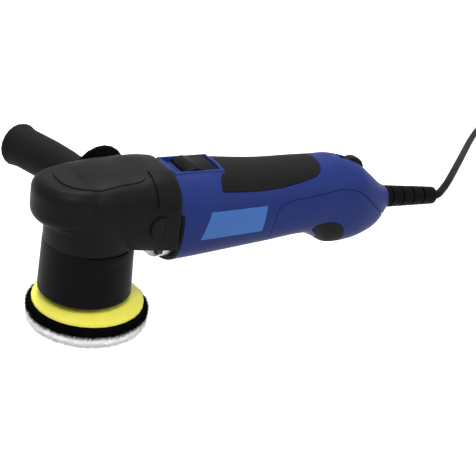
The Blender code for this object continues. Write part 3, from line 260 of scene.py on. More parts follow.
# A darker copy of the black plastic for the shroud, the slider and the arch: its extra darkness is painted
# shade
SHADED_BLACK = procedural("black_plastic_painted_shade", (0.0024, 0.0024, 0.0025), (0.0036, 0.0036, 0.0037), 0.46,
                    grain=1500.0, depth=0.05, patch=50.0, specular=0.04)
GUARD = procedural("guard_plastic", (0.0012, 0.0012, 0.0013), (0.0022, 0.0022, 0.0023), 0.50,
                   grain=1500.0, depth=0.05, patch=50.0, specular=0.03)
GUARD_LOOK_AND_SHROUD_SHADE = {"handle_guard": GUARD, "shroud": SHADED_BLACK}


# Mesh helpers
EDGE_ANGLE = math.radians(32.0)
SHARP_ANGLE = math.radians(40.0)
BEVEL_SEGMENTS = 2
CORNER_SHARE = 0.45
CORNER_STEPS = 5


def mesh_object(name, bm, angle=35.0):
    """An object of a finished bmesh, smooth except at edges over an angle."""
    bmesh.ops.recalc_face_normals(bm, faces=bm.faces)
    mesh = bpy.data.meshes.new(name)
    bm.to_mesh(mesh)
    bm.free()
    mesh.shade_smooth()
    mesh.set_sharp_from_angle(angle=math.radians(angle))
    obj = bpy.data.objects.new(name, mesh)
    scene.collection.objects.link(obj)
    return obj


def applied(obj):
    """Make what the modifiers leave the object's own mesh."""
    graph = bpy.context.evaluated_depsgraph_get()
    mesh = bpy.data.meshes.new_from_object(obj.evaluated_get(graph), depsgraph=graph)
    obj.modifiers.clear()
    obj.data = mesh


def boolean(obj, other, operation="DIFFERENCE"):
    """Cut an object with another, join them or keep what they share, and drop the other."""
    modifier = obj.modifiers.new("cut", "BOOLEAN")
    modifier.operation = operation
    modifier.object = other
    modifier.solver = "MANIFOLD"
    applied(obj)
    bpy.data.objects.remove(other, do_unlink=True)


def bulge(value, power):
    """A power that keeps the sign, for squarish rounds."""
    return math.copysign(abs(value) ** power, value)


def ease(share):
    """From nought to one, level at both ends."""
    return 3 * share ** 2 - 2 * share ** 3


def bridge(bm, rings):
    """Walls between rings of corners, and a cap at each end."""
    for a, b in zip(rings, rings[1:]):
        for k in range(len(a)):
            n = (k + 1) % len(a)
            bm.faces.new((a[k], a[n], b[n], b[k]))
    bm.faces.new(rings[0])
    bm.faces.new(rings[-1])


def box(name, low, high):
    low, high = Vector(low) * MM, Vector(high) * MM
    bm = bmesh.new()
    bmesh.ops.create_cube(bm, size=1.0)
    bmesh.ops.scale(bm, vec=high - low, verts=bm.verts)
    bmesh.ops.translate(bm, vec=(high + low) / 2, verts=bm.verts)
    return mesh_object(name, bm)


def turned(name, profile, place=(0, 0, 0), direction=(0, 0, 1), steps=64, angle=35.0):
    """Turn (radius, height) pairs about a line through place; the profile closes on the axis."""
    bm = bmesh.new()
    rings = []
    for radius, height in profile:
        if radius < 1e-6:
            rings.append([bm.verts.new((0, 0, height * MM))])
            continue
        rings.append([bm.verts.new((radius * math.cos(TURN * k / steps) * MM,
                                    radius * math.sin(TURN * k / steps) * MM, height * MM))
                      for k in range(steps)])
    for a, b in zip(rings, rings[1:]):
        for k in range(steps):
            n = (k + 1) % steps
            corners = [a[k % len(a)], a[n % len(a)], b[n % len(b)], b[k % len(b)]]
            unique = list(dict.fromkeys(corners))
            if len(unique) > 2:
                bm.faces.new(unique)
    turn = Vector((0, 0, 1)).rotation_difference(Vector(direction)).to_matrix().to_4x4()
    bmesh.ops.transform(bm, matrix=Matrix.Translation(Vector(place) * MM) @ turn, verts=bm.verts)
    return mesh_object(name, bm, angle)


def carried(name, corners, way):
    """A flat outline carried along a way."""
    bm = bmesh.new()
    face = bm.faces.new([bm.verts.new((x * MM, y * MM, z * MM)) for x, y, z in corners])
    extra = bmesh.ops.extrude_face_region(bm, geom=[face])
    moved = [v for v in extra["geom"] if isinstance(v, bmesh.types.BMVert)]
    bmesh.ops.translate(bm, vec=tuple(part * MM for part in way), verts=moved)
    return mesh_object(name, bm)


def prism(name, points, half_width):
    """An outline in the XZ plane carried both ways along Y."""
    return carried(name, [(x, -half_width, z) for x, z in points], (0, 2 * half_width, 0))


def column(name, points, low, high):
    """An outline in the XY plane carried up."""
    return carried(name, [(x, y, low) for x, y in points], (0, 0, high - low))


def rounded(points, radius):
    """Round the corners of an outline."""
    result = []
    for index, point in enumerate(points):
        here = Vector(point)
        before = Vector(points[index - 1]) - here
        after = Vector(points[(index + 1) % len(points)]) - here
        reach = min(radius, before.length * CORNER_SHARE, after.length * CORNER_SHARE)
        start = here + before.normalized() * reach
        end = here + after.normalized() * reach
        for step in range(CORNER_STEPS + 1):
            t = step / CORNER_STEPS
            result.append(tuple(start * (1 - t) ** 2 + here * 2 * t * (1 - t) + end * t * t))
    return result


def grown(points, amount):
    """An outline moved outwards by an amount."""
    count = len(points)
    area = sum(a[0] * b[1] - b[0] * a[1] for a, b in zip(points, points[1:] + points[:1]))
    side = 1.0 if area > 0 else -1.0
    result = []
    for index in range(count):
        here = Vector(points[index])
        before = (here - Vector(points[index - 1])).normalized()
        after = (Vector(points[(index + 1) % count]) - here).normalized()
        first = Vector((before.y, -before.x)) * side
        second = Vector((after.y, -after.x)) * side
        middle = (first + second).normalized()
        result.append(tuple(here + middle * (amount / middle.dot(first))))
    return result


def section_at(stations, x):
    """Middle's height, half width and half height at a place, smoothly between the stations."""
    count = len(stations)
    index = 0
    while index < count - 2 and x > stations[index + 1][0]:
        index += 1
    low, high = stations[index], stations[index + 1]
    before = stations[max(index - 1, 0)]
    after = stations[min(index + 2, count - 1)]
    span = high[0] - low[0]
    share = (x - low[0]) / span
    values = []
    for field in (1, 2, 3):
        rise_low = (high[field] - before[field]) / (high[0] - before[0]) * span
        rise_high = (after[field] - low[field]) / (after[0] - low[0]) * span
        values.append((2 * share ** 3 - 3 * share ** 2 + 1) * low[field]
                      + (share ** 3 - 2 * share ** 2 + share) * rise_low
                      + ease(share) * high[field]
                      + (share ** 3 - share ** 2) * rise_high)
    return values


def loft(name, stations, power, start, end, inset=0.0, sides=96, step=3.5):
    """A closed form through the stations' squarish sections."""
    count = max(2, round((end - start) / step))
    bm = bmesh.new()
    rings = []
    for index in range(count + 1):
        x = start + (end - start) * index / count
        centre, half_width, half_height = section_at(stations, x)
        ring = []
        for corner in range(sides):
            angle = TURN * (corner + 0.5) / sides
            y = bulge(math.cos(angle), 2 / power) * (half_width - inset)
            z = centre + bulge(math.sin(angle), 2 / power) * (half_height - inset)
            ring.append(bm.verts.new((x * MM, y * MM, z * MM)))
        rings.append(ring)
    bridge(bm, rings)
    return mesh_object(name, bm)


def shade(obj):
    """Smooth, except at sharp edges."""
    obj.data.shade_smooth()
    obj.data.set_sharp_from_angle(angle=SHARP_ANGLE)


def soften(obj, width):
    """Round the sharp edges a little so that they catch the light."""
    bevel = obj.modifiers.new("edges", "BEVEL")
    bevel.width = width * MM
    bevel.segments = BEVEL_SEGMENTS
    bevel.limit_method = "ANGLE"
    bevel.angle_limit = EDGE_ANGLE
    bevel.use_clamp_overlap = True
    applied(obj)
    shade(obj)
    return obj


def dress(obj, body, mat, slot, *nodes):
    """Give a piece its material and body, and hide the nodes that it stands for; the slot argument is not
    used.
    """
    obj.data.materials.clear()
    obj.data.materials.append(mat)
    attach(obj, body)
    if nodes:
        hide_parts(*nodes)
    return obj


# The cord: the visible run, then the unseen length in its coil
ROUTE_STEPS = 24
ROUTE_SPACING = 5.0
CORD_INSIDE = 4.0
COIL_PER_TURN = 48
COIL_SHORT = 0.25
LEAD_STEPS = 8
relief_line = Vector((math.cos(RELIEF_DROOP), 0.0, -math.sin(RELIEF_DROOP)))
relief_mouth = RELIEF_BASE + RELIEF_LENGTH * relief_line
coil_low = STRAP_THICK + 2 * GAP + CORD_RADIUS
coil_high = coil_low + 2 * CORD_RADIUS + COIL_LAYER_GAP
cord_low = CORD_RADIUS + GAP
entry = COIL_CENTRE + Vector((0, COIL_RADIUS, coil_low))
ROUTE = (
    RELIEF_BASE + 20.0 * relief_line,
    relief_mouth,
    relief_mouth + Vector((9.0, 2.0, -0.9)),
    (372.0, 14.5, 68.6),
    (396.0, 34.5, 65.5),
    (474.0, 106.0, 47.5),
    (583.0, 208.0, 17.5),
    (641.0, 259.0, cord_low),
    (672.0, 280.0, cord_low),
    (706.0, 296.0, cord_low + 0.4),
    entry - Vector((26.0, 0.6, 0.3)),
    entry,
)
# The strap: its place round the coil, its squarish round, and its section as (outwards, across)
STRAP_ANGLE = math.radians(225.0)
STRAP_MIDDLE = 40.3
STRAP_REACH = 11.8
STRAP_CENTRE = 9.35
STRAP_HALF = 8.2
STRAP_SQUARE = 0.5
STRAP_SECTION = ((0.0, -4.0), (0.0, 4.0), (0.95, 3.8), (0.95, -3.8))
STRAP_STEPS = 64
STRAP_START = 0.6
STRAP_LAP_STEPS = 9
STRAP_LAP = 1.05


def smooth_route(points, spacing):
    """Evenly spaced points on a smooth curve through a route's own points."""
    points = [Vector(p) for p in points]
    points = [2 * points[0] - points[1]] + points + [2 * points[-1] - points[-2]]
    fine = []
    for p0, p1, p2, p3 in zip(points, points[1:], points[2:], points[3:]):
        for index in range(ROUTE_STEPS):
            t = index / ROUTE_STEPS
            fine.append(0.5 * (2 * p1 + (p2 - p0) * t + (2 * p0 - 5 * p1 + 4 * p2 - p3) * t * t
                               + (3 * p1 - p0 - 3 * p2 + p3) * t ** 3))
    fine.append(points[-2])
    total = sum((b - a).length for a, b in zip(fine, fine[1:]))
    count = max(2, round(total / spacing))
    result = [fine[0]]
    walked = 0.0
    for a, b in zip(fine, fine[1:]):
        length = (b - a).length
        while len(result) < count and walked + length >= total * len(result) / count:
            share = (total * len(result) / count - walked) / length
            result.append(a.lerp(b, share))
        walked += length
    result.append(fine[-1])
    return result


def coil_points():
    """In along the floor, half a turn up, out on top, then over to the plug's line."""
    inner = COIL_RADIUS - COIL_PITCH * COIL_TURNS
    slope = COIL_PITCH / TURN
    first = TURN * COIL_TURNS
    climb = TURN / 2
    last = TURN * (COIL_TURNS - COIL_SHORT)
    total = first + climb + last
    count = round(COIL_PER_TURN * total / TURN)
    points = []
    for index in range(count + 1):
        turn = total * index / count
        radius = COIL_RADIUS - COIL_PITCH * turn / TURN
        height = coil_low
        if turn > first + climb:
            radius = inner + COIL_PITCH * (turn - first - climb) / TURN
            height = coil_high
        elif turn > first:
            share = (turn - first) / climb
            radius = inner - slope * math.sin(math.pi * share)
            height = coil_low + (coil_high - coil_low) * ease(share)
        angle = math.pi / 2 - turn
        points.append(COIL_CENTRE + Vector((radius * math.cos(angle), radius * math.sin(angle), height)))
    end = points[-1]
    lead = (end - points[-2]).normalized() * PLUG_LEAD
    shift = Vector((COIL_CENTRE.x + PLUG_LINE - end.x, 0, 0))
    shares = [step / LEAD_STEPS for step in range(1, LEAD_STEPS + 1)]
    return points + [end + lead * share + shift * ease(share) for share in shares]


def coil_strap():
    """A snug strap round one side of the coil, with its end lapped over."""
    place = Matrix.Rotation(STRAP_ANGLE, 3, "Z")
    bm = bmesh.new()
    rings = []
    for index in range(STRAP_STEPS + STRAP_LAP_STEPS):
        angle = TURN * index / STRAP_STEPS + STRAP_START
        wide = bulge(math.cos(angle), STRAP_SQUARE)
        tall = bulge(math.sin(angle), STRAP_SQUARE)
        lap = 0.0 if index < STRAP_STEPS else STRAP_LAP
        ring = []
        for out, across in STRAP_SECTION:
            radius = STRAP_MIDDLE + wide * (STRAP_REACH + out + lap)
            height = STRAP_CENTRE + tall * (STRAP_HALF + out + lap)
            ring.append(bm.verts.new((COIL_CENTRE + place @ Vector((radius, across, height))) * MM))
        rings.append(ring)
    bridge(bm, rings)
    strap = mesh_object("skin_coil_tie", bm)
    return dress(strap, "tool", MATS["black_plastic"], "black_plastic", "coil_tie")


def lay_cord():
    """One curve from inside the relief's mouth to the plug, and the strap round its coil."""
    run = [p for p in smooth_route(ROUTE, ROUTE_SPACING)
           if (p - relief_mouth).dot(relief_line) > -CORD_INSIDE]
    points = run[:-1] + coil_points()
    for point in points:
        point.z = max(point.z, CORD_RADIUS)
    curve = bpy.data.curves.new("cord", "CURVE")
    curve.dimensions = "3D"
    curve.bevel_depth = CORD_RADIUS * MM
    curve.bevel_resolution = 4
    curve.use_fill_caps = True
    spline = curve.splines.new("POLY")
    spline.points.add(len(points) - 1)
    for point, at in zip(spline.points, points):
        point.co = (*(at * MM), 1.0)
    spline.use_smooth = True
    cord = bpy.data.objects.new("cord", curve)
    scene.collection.objects.link(cord)
    dress(cord, "tool", MATS["cord_rubber"], "cord_rubber", "cord_run", "cord_coil")
    [NODES[n] for n in ("mains_plug", "plug_pin_1", "plug_pin_2")] + [coil_strap()]


lay_cord()

# Solids that stay: their own material, a darker black with painted shade on the shroud, shaded smooth between
# sharp edges
WELD_REACH = 0.000002
for name, obj in NODES.items():
    obj.data.materials.clear()
    obj.data.materials.append(GUARD_LOOK_AND_SHROUD_SHADE.get(name) or MATS[SLOT_OF[name]])
    weld = obj.modifiers.new("weld", "WELD")
    weld.merge_threshold = WELD_REACH
    obj.data.shade_smooth()
    split = obj.modifiers.new("edges", "EDGE_SPLIT")
    split.split_angle = EDGE_ANGLE


# Body skins; the far sides of a cutter lie well clear of what it cuts
PAST = 70.0
GRIP_ROUND = 2.5
COVER_ROUND = 9.0
BELLY_ROUND = 5.0
SKIN_EDGE = 0.5
OVERCUT = 0.2
HALF_SEAM = 0.12
HOUSING_WALL = 6.4
HOLLOW_END = 277.0
CORE_CAP = 1.5
SKIN_CAP = 1.4
SWITCH_ROOM = ((63.0, -14.0, 125.7), (103.6, 14.0, 200))
DIAL_SLOT = ((228.5, -4.6, 90.0), (257.5, 4.6, 200))
RELIEF_HOLE = ((0, 20.0), (6.9, 20.0), (6.9, -14.0), (0, -14.0))
SLIDER_EDGE = 0.4
# Sizes of the black ring in the vent slit, which is painted shade
SHADE_RING_INSET = 0.7
SHADE_RING_DEPTH = 6.6
# The label's corners seen from the side, its squares and how far its two faces stand out
LABEL_LOW = (Vector((78.2, 80.2)), Vector((137.8, 78.6)))
LABEL_HIGH = (Vector((86.0, 103.4)), Vector((140.2, 101.0)))
LABEL_ACROSS = 36
LABEL_UP = 16
LABEL_OUT = (0.32, 0.08)


def switch_frame():
    """The raised frame round the slide switch, wider at its foot than at its top."""
    bm = bmesh.new()
    for x, half, height in SWITCH_FRAME:
        for y in (-half, half):
            bm.verts.new(Vector((x, y, height)) * MM)
    bmesh.ops.convex_hull(bm, input=bm.verts)
    return mesh_object("switch_frame", bm)


def slider():
    """The slide switch, low in its frame, with a smooth thumb rise."""
    slot = SLOT_OF["switch_slider"]
    piece = soften(prism("skin_switch_slider", SLIDER, SLIDER_HALF), SLIDER_EDGE)
    # The slider takes the darker black, whose extra darkness is painted shade
    dress(piece, "switch", SHADED_BLACK, slot, "switch_slider")


def body_skins():
    """Two housing halves, the grip, the lower cover and the belly inlay, cut from one form."""
    body_end = BODY[-1][0]
    grip_line = rounded(GRIP, GRIP_ROUND)
    cover_line = rounded(COVER, COVER_ROUND)
    belly_line = rounded(BELLY, BELLY_ROUND)
    blank = loft("blank", BODY, BODY_POWER, HOUSING_START, body_end)
    boolean(blank, prism("grip_room", grown(grip_line, SEAM), PAST))
    boolean(blank, prism("cover_room", grown(cover_line, SEAM), PAST))
    boolean(blank, loft("core", BODY, BODY_POWER, VENT_EDGE + OVERCUT, body_end - CORE_CAP,
                        SKIN + OVERCUT), "UNION")
    boolean(blank, loft("hollow", BODY, BODY_POWER, HOUSING_START - OVERCUT, HOLLOW_END, HOUSING_WALL,
                        sides=48, step=8.0))
    boolean(blank, box("vent_room", (30, -PAST, 0), (VENT_EDGE, PAST, VENT_TOP)))
    boolean(blank, switch_frame(), "UNION")
    boolean(blank, box("switch_room", *SWITCH_ROOM))
    boolean(blank, box("dial_slot", *DIAL_SLOT))
    boolean(blank, turned("relief_hole", RELIEF_HOLE, RELIEF_BASE, relief_line, 40))
    for side, low, high in (("left", -HALF_SEAM, 90), ("right", -90, HALF_SEAM)):
        half = bpy.data.objects.new("skin_housing_" + side, blank.data.copy())
        scene.collection.objects.link(half)
        boolean(half, box("trim", (0, low, 0), (400, high, 200)))
        soften(half, SKIN_EDGE)
        dress(half, "tool", MATS["blue_plastic"], "blue_plastic", "housing_" + side)
    bpy.data.objects.remove(blank, do_unlink=True)
    for name, line, slot in (
        ("top_grip", grip_line, "grip_rubber"),
        ("lower_cover", cover_line, "blue_plastic"),
        ("belly_pad", belly_line, "grip_rubber"),
    ):
        skin = loft("skin_" + name, BODY, BODY_POWER, HOUSING_START, body_end)
        boolean(skin, loft("skin_core", BODY, BODY_POWER, HOUSING_START - OVERCUT, body_end - SKIN_CAP, SKIN))
        boolean(skin, prism("outline", line, PAST), "INTERSECT")
        if name == "lower_cover":
            boolean(skin, prism("belly_room", grown(belly_line, SEAM), PAST))
        soften(skin, SKIN_EDGE)
        dress(skin, "tool", MATS[slot], slot, name)


def vent_shade_ring():
    """A black ring on the housing's front face in the vent slit behind the head: painted shade for the dark
    inside of the slit.
    """
    ring = loft("vent_shade_ring", BODY, BODY_POWER, HEAD_END + 1.4, VENT_EDGE - 0.1, SHADE_RING_INSET, step=1.0)
    boolean(ring, loft("shade_ring_hollow", BODY, BODY_POWER, HEAD_END + 0.4, VENT_EDGE + 1.0, SHADE_RING_DEPTH,
                       step=1.0))
    boolean(ring, box("shade_ring_top", (30, -PAST, VENT_TOP - GAP), (90, PAST, 200)))
    # The black of this ring is painted shade
    dress(ring, "tool", MATS["black_plastic"], "black_plastic")


def surface_y(x, z, out):
    """Near side of the body at a place seen from the side, a little proud of it."""
    centre, half_width, half_height = section_at(BODY, x)
    share = min(1.0, abs(z - centre) / (half_height + out))
    return -(half_width + out) * (1 - share ** BODY_POWER) ** (1 / BODY_POWER)


def label():
    """A bare foil parallelogram on the near side."""
    bm = bmesh.new()
    layers = []
    for out in LABEL_OUT:
        grid = []
        for i in range(LABEL_ACROSS + 1):
            row = []
            for j in range(LABEL_UP + 1):
                u, v = i / LABEL_ACROSS, j / LABEL_UP
                spot = LABEL_LOW[0].lerp(LABEL_LOW[1], u).lerp(LABEL_HIGH[0].lerp(LABEL_HIGH[1], u), v)
                row.append(bm.verts.new((spot.x * MM, surface_y(spot.x, spot.y, out) * MM, spot.y * MM)))
            grid.append(row)
        layers.append(grid)
        for left, right in zip(grid, grid[1:]):
            for j in range(LABEL_UP):
                bm.faces.new((left[j], right[j], right[j + 1], left[j + 1]))
    top, low = layers
    rim = [(i, 0) for i in range(LABEL_ACROSS)] + [(LABEL_ACROSS, j) for j in range(LABEL_UP)]
    rim += [(i, LABEL_UP) for i in range(LABEL_ACROSS, 0, -1)] + [(0, j) for j in range(LABEL_UP, 0, -1)]
    for a, b in zip(rim, rim[1:] + rim[:1]):
        bm.faces.new((top[a[0]][a[1]], top[b[0]][b[1]], low[b[0]][b[1]], low[a[0]][a[1]]))
    dress(mesh_object("bare_label", bm), "tool", LABEL, "blue_plastic")


# Gear head, with its forms run softly into each other
NECK_TOP = 104.0
NECK_SINK = 3.0
NOSE_STEPS = 12
BOSS_RADIUS = 13.0
BOSS_ROOT = 18.0
VOXEL = 1.1
SMOOTH_FACTOR = 0.5
SMOOTH_ROUNDS = 14
BACK_GAP = 0.6
RAISED_EDGE = 0.35
# Hollows of the head, turned about the spindle's and the motor's lines: radius, place
HEAD_HOLLOW = ((0, 118.0), (24.0, 118.0), (28.8, 113.0), (28.8, 40.0), (0, 40.0))
REAR_HOLLOW = ((0, 80.0), (38.0, 80.0), (38.0, 46.0), (26.8, 40.0), (26.8, 0.0), (0, 0.0))
# Raised forms: how far they stand out, then outlines, the panel's from above and the others from the side
PANEL_OUT = 0.9
STEP_OUT = 1.5
TAB_OUT = 2.0
LIP_OUT = 1.1
TOP_PANEL = [(-31.0, -9.0), (-24.0, -21.0), (-8.0, -27.0), (30.0, -24.5), (35.0, -18.0), (35.0, 18.0),
             (30.0, 24.5), (-8.0, 27.0), (-24.0, 21.0), (-31.0, 9.0)]
PANEL_ROUND = 7.0
STEP = ((37.5, -60.0, 113.0), (57.7, -15.0, 150.0))
TAB = [(43.4, 86.0), (43.4, 105.4), (39.0, 105.4), (34.5, 102.5), (32.2, 98.0), (32.2, 93.5),
       (34.5, 89.0), (39.0, 86.0)]
LIP = [(44.2, 85.0), (44.2, 106.0), (45.6, 106.0), (45.6, 85.0)]
NEAR_SIDE = ((0, -90, 60), (90, -20, 130))
# The arch on the shroud: the band that it is cut from, its middle and its half sizes
ARCH_BAND = ((0, 73.7), (37.1, 73.7), (37.6, 58.0), (0, 58.0))
ARCH_MIDDLE = (2.0, 74.5)
ARCH_HALF = (18.0, 10.5)
ARCH_STEPS = 24
ARCH_EDGE = 0.4


def nose_profile():
    """The nose from its top to its bottom, round at both ends: radius, height."""
    profile = [(0, NOSE_TOP)]
    for index in range(NOSE_STEPS + 1):
        angle = math.pi / 2 * (1 - index / NOSE_STEPS)
        profile.append((NOSE_RADIUS - NOSE_ROUND * (1 - math.cos(angle)),
                        NOSE_TOP - NOSE_ROUND * (1 - math.sin(angle))))
    for index in range(NOSE_STEPS + 1):
        angle = math.pi / 2 * index / NOSE_STEPS
        profile.append((NOSE_RADIUS - NOSE_ROUND * (1 - math.cos(angle)),
                        NOSE_BOTTOM + NOSE_ROUND * (1 - math.sin(angle))))
    return profile + [(0, NOSE_BOTTOM)]


def head():
    """The head's cover and the raised forms on it."""
    low = SHROUD_TOP + GAP
    neck_low = low - NECK_SINK
    neck = ((0, NECK_TOP), (NECK_RADIUS, NECK_TOP), (NECK_RADIUS, neck_low), (0, neck_low))
    form = turned("skin_head", neck, steps=96)
    boolean(form, loft("block", BLOCK, BLOCK_POWER, BLOCK[0][0], HEAD_END, step=3.0), "UNION")
    boolean(form, turned("nose", nose_profile(), (NOSE_X, 0, 0), steps=96), "UNION")
    line = Vector((-math.sin(HANDLE_SWEEP), math.cos(HANDLE_SWEEP), 0))
    boss_end = GUARD_START + 1
    boss = ((0, boss_end), (BOSS_RADIUS, boss_end), (BOSS_RADIUS, BOSS_ROOT), (0, BOSS_ROOT))
    boolean(form, turned("boss", boss, HANDLE_BASE, line, 48), "UNION")
    remesh = form.modifiers.new("remesh", "REMESH")
    remesh.mode = "VOXEL"
    remesh.voxel_size = VOXEL * MM
    smooth = form.modifiers.new("smooth", "SMOOTH")
    smooth.factor = SMOOTH_FACTOR
    smooth.iterations = SMOOTH_ROUNDS
    applied(form)
    boolean(form, box("trim_low", (-90, -90, 0), (90, 90, low)))
    boolean(form, box("trim_back", (HEAD_END - BACK_GAP, -90, 0), (90, 90, 200)))
    face = box("trim_face", (-90, -90, GUARD_START - GAP), (90, 90, 90))
    turn = Vector((0, 0, 1)).rotation_difference(line).to_matrix().to_4x4()
    face.matrix_world = Matrix.Translation(HANDLE_BASE * MM) @ turn
    bpy.context.view_layer.update()
    boolean(form, face)
    boolean(form, turned("inner", HEAD_HOLLOW, steps=48))
    boolean(form, turned("rear", REAR_HOLLOW, (0, 0, AXIS_Z), (1, 0, 0), 48))
    shade(form)
    dress(form, "tool", MATS["black_plastic"], "black_plastic", "head_cover")
    panel = rounded(TOP_PANEL, PANEL_ROUND)
    raised("head_top_panel", form, PANEL_OUT, column("panel_line", panel, 112.0, 150.0))
    raised("head_step", form, STEP_OUT, box("step_line", *STEP))
    raised("head_tab", form, TAB_OUT, prism("tab_line", TAB, 60.0), box("near_side", *NEAR_SIDE))
    raised("head_tab_lip", form, LIP_OUT, prism("lip_line", LIP, 60.0), box("near_lip", *NEAR_SIDE))


def raised(name, form, amount, *outlines):
    """A part of a form's surface that stands a little proud of the rest."""
    patch = bpy.data.objects.new(name, form.data.copy())
    scene.collection.objects.link(patch)
    normals = [vert.normal.copy() for vert in patch.data.vertices]
    for vert, normal in zip(patch.data.vertices, normals):
        vert.co += normal * amount * MM
    for outline in outlines:
        boolean(patch, outline, "INTERSECT")
    soften(patch, RAISED_EDGE)
    dress(patch, "tool", form.data.materials[0], "black_plastic")


def shroud_relief():
    """The shallow arch under the shroud's upper seam, on the near side."""
    band = turned("shroud_relief", ARCH_BAND, steps=120)
    arch = []
    for step in range(ARCH_STEPS + 1):
        angle = math.pi * (1 + step / ARCH_STEPS)
        arch.append((ARCH_MIDDLE[0] + ARCH_HALF[0] * math.cos(angle),
                     ARCH_MIDDLE[1] + ARCH_HALF[1] * math.sin(angle)))
    boolean(band, prism("arch_line", arch, 60.0), "INTERSECT")
    boolean(band, box("near_half", (-60, -60, 0), (60, -20, 120)), "INTERSECT")
    soften(band, ARCH_EDGE)
    # The arch takes the darker black, whose extra darkness is painted shade
    dress(band, "tool", SHADED_BLACK, "black_plastic")


# Wool and fleece: how many locks, their length and their thickness; lumps, their height and their fineness
WOOL_LOCKS = (5200, 2.6, 0.42)
FLEECE_LOCKS = (3400, 2.1, 0.3)
WOOL_LUMPS = (1.3, 0.28)
FLEECE_LUMPS = (0.6, 0.4)
LOCK_RINGS = 4
LOCK_CORNERS = (0.0, 2.094, 4.189)
LOCK_BEND = 0.8
LOCK_TAPER = 0.75
PAD_STEPS = 220
SMOOTH_MIDDLE = 20
ALL_SMOOTH = 180.0


def tufts(name, count, length, thick, spot):
    """Many small curled locks, each from a place and a direction."""
    bm = bmesh.new()
    for _ in range(count):
        place, away = spot()
        side = away.cross(Vector((0, 0, 1)))
        side = side.normalized() if side.length > 1e-4 else Vector((1, 0, 0))
        lift = away.cross(side).normalized()
        bend = (side * random.uniform(-1, 1) + Vector((0, 0, random.uniform(-0.7, 0.5)))) * LOCK_BEND
        reach = length * random.uniform(0.6, 1.25)
        width = thick * random.uniform(0.7, 1.2)
        rings = []
        for step in range(LOCK_RINGS):
            t = step / (LOCK_RINGS - 1)
            centre = place + away * reach * t + bend * reach * t * t
            radius = width * (1.0 - LOCK_TAPER * t)
            rings.append([bm.verts.new((centre + (side * math.cos(a) + lift * math.sin(a)) * radius) * MM)
                          for a in LOCK_CORNERS])
        bridge(bm, rings)
    return mesh_object(name, bm, ALL_SMOOTH)


def pad_skin(name, profile, rough, fineness):
    """A turned soft form with a lumpy surface."""
    form = turned(name, profile, (ORBIT, 0, 0), steps=PAD_STEPS, angle=ALL_SMOOTH)
    for vert in form.data.vertices:
        p = vert.co / MM
        lump = noise.fractal(p * fineness, 1.0, 2.0, 3)
        away = Vector((p.x - ORBIT, p.y, 0))
        if away.length > SMOOTH_MIDDLE:
            vert.co += away.normalized() * lump * rough * MM
    return form


def arc_profile(radius, low, high, belly, count):
    """A bulging edge between two heights."""
    points = []
    for index in range(count + 1):
        t = index / count
        points.append((radius - belly * (1 - math.sin(math.pi * t)), high + (low - high) * t))
    return points


def wool():
    """The white pad and the locks round its edge, none of them under the floor."""
    top = [(r, WOOL_HEIGHT) for r in (0, 15, 30, 40)]
    edge = arc_profile(WOOL_RADIUS - 0.8, 0.4, WOOL_HEIGHT, 4.0, 14)
    under = [(r, 0.0) for r in (42, 36, 30, 22, 12, 0)]
    form = pad_skin("skin_wool", top + edge + under, *WOOL_LUMPS)
    dress(form, "pad", MATS["wool"], "wool", "wool_pad")

    def rim():
        angle = random.uniform(0, TURN)
        t = random.uniform(0.04, 0.97)
        height = WOOL_HEIGHT * (1 - t)
        radius = WOOL_RADIUS - 2.4 - 3.4 * (1 - math.sin(math.pi * t))
        flat = Vector((math.cos(angle), math.sin(angle), 0))
        away = (flat + Vector((0, 0, (0.5 - t) * 0.9))).normalized()
        return flat * radius + Vector((ORBIT, 0, height)), away

    locks = tufts("wool_locks", *WOOL_LOCKS, rim)
    for vert in locks.data.vertices:
        vert.co.z = max(vert.co.z, 0.0)
    dress(locks, "pad", MATS["wool"], "wool")


def fleece():
    """The black backing between wool and plate, and the locks round its edge."""
    top = [(r, FLEECE_TOP) for r in (0, 30, 43)]
    edge = arc_profile(FLEECE_RADIUS - 0.5, FLEECE_LOW, FLEECE_TOP, 1.6, 10)
    under = [(r, FLEECE_LOW) for r in (40, 0)]
    form = pad_skin("skin_fleece", top + edge + under, *FLEECE_LUMPS)
    dress(form, "pad", MATS["fleece"], "fleece", "pad_backing")

    def rim():
        angle = random.uniform(0, TURN)
        t = random.uniform(0.0, 1.0)
        height = FLEECE_TOP + (FLEECE_LOW - FLEECE_TOP) * t
        flat = Vector((math.cos(angle), math.sin(angle), 0))
        away = (flat + Vector((0, 0, 0.4 - 1.6 * t))).normalized()
        return flat * (FLEECE_RADIUS - 1.9) + Vector((ORBIT, 0, height)), away

    dress(tufts("fleece_locks", *FLEECE_LOCKS, rim), "pad", MATS["fleece"], "fleece")


body_skins()
slider()
vent_shade_ring()
label()
head()
shroud_relief()
wool()
fleece()


# Floor, backdrop and light
FLOOR_HALF = 6.0
FLOOR_DROP = 0.0004
FLOOR_SHADE = 0.60
FLOOR_GLOW = 0.76
WORLD_LIGHT = 0.36
# Lamps: name, place, target, power, size
LAMPS = (
    ("key", (-0.6, -0.9, 1.5), (0.1, 0.0, 0.08), 23.0, 0.8),
    ("top", (0.3, 0.5, 1.7), (0.15, 0.0, 0.08), 27.0, 1.0),
    ("side", (1.2, -1.0, 0.8), (0.2, 0.0, 0.08), 4.0, 0.8),
)


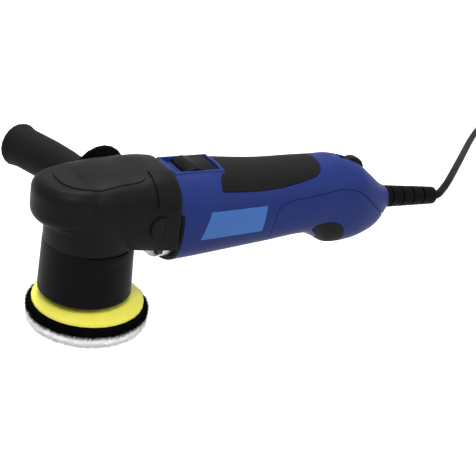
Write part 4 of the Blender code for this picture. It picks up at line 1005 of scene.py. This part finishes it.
def white_for_camera(name, tone, glow):
    """White to the eye and in reflections, and a plain surface for shadows and bounce."""
    mat = bpy.data.materials.new(name)
    mat.use_nodes = True
    tree = mat.node_tree
    shader = tree.nodes["Principled BSDF"]
    socket(shader, "Base Color", (tone, tone, tone, 1.0))
    socket(shader, "Roughness", 0.9)
    socket(shader, "Specular IOR Level", 0.1)
    socket(shader, "Emission Color", (1.0, 1.0, 1.0, 1.0))
    level = tree.nodes.new("ShaderNodeMapRange")
    level.inputs["To Max"].default_value = glow
    tree.links.new(seen_directly(tree), level.inputs["Value"])
    tree.links.new(level.outputs["Result"], shader.inputs["Emission Strength"])
    return mat


def seen_directly(tree):
    """One for rays from the eye, from a mirror or through glass, and nought for light on the object."""
    path = tree.nodes.new("ShaderNodeLightPath")
    first = tree.nodes.new("ShaderNodeMath")
    first.operation = "MAXIMUM"
    tree.links.new(path.outputs["Is Camera Ray"], first.inputs[0])
    tree.links.new(path.outputs["Is Glossy Ray"], first.inputs[1])
    second = tree.nodes.new("ShaderNodeMath")
    second.operation = "MAXIMUM"
    tree.links.new(first.outputs["Value"], second.inputs[0])
    tree.links.new(path.outputs["Is Transmission Ray"], second.inputs[1])
    return second.outputs["Value"]


def lamp(name, place, target, power, size):
    light = bpy.data.lights.new(name, "AREA")
    light.energy = power
    light.shape = "DISK"
    light.size = size
    obj = bpy.data.objects.new(name, light)
    obj.location = place
    aim = Vector(target) - Vector(place)
    obj.rotation_euler = aim.to_track_quat("-Z", "Y").to_euler()
    scene.collection.objects.link(obj)


def stage():
    """The floor, the white all round and the lamps."""
    bm = bmesh.new()
    bmesh.ops.create_grid(bm, x_segments=1, y_segments=1, size=FLOOR_HALF)
    floor = mesh_object("floor", bm)
    floor.data.materials.append(white_for_camera("floor_paint", FLOOR_SHADE, FLOOR_GLOW))
    floor.location.z = -FLOOR_DROP
    world = bpy.data.worlds.new("world")
    scene.world = world
    world.use_nodes = True
    tree = world.node_tree
    ground = tree.nodes["Background"]
    ground.inputs["Color"].default_value = (1.0, 1.0, 1.0, 1.0)
    level = tree.nodes.new("ShaderNodeMapRange")
    level.inputs["To Min"].default_value = WORLD_LIGHT
    level.inputs["To Max"].default_value = 1.0
    tree.links.new(seen_directly(tree), level.inputs["Value"])
    tree.links.new(level.outputs["Result"], ground.inputs["Strength"])
    for row in LAMPS:
        lamp(*row)


stage()
bpy.context.view_layer.update()
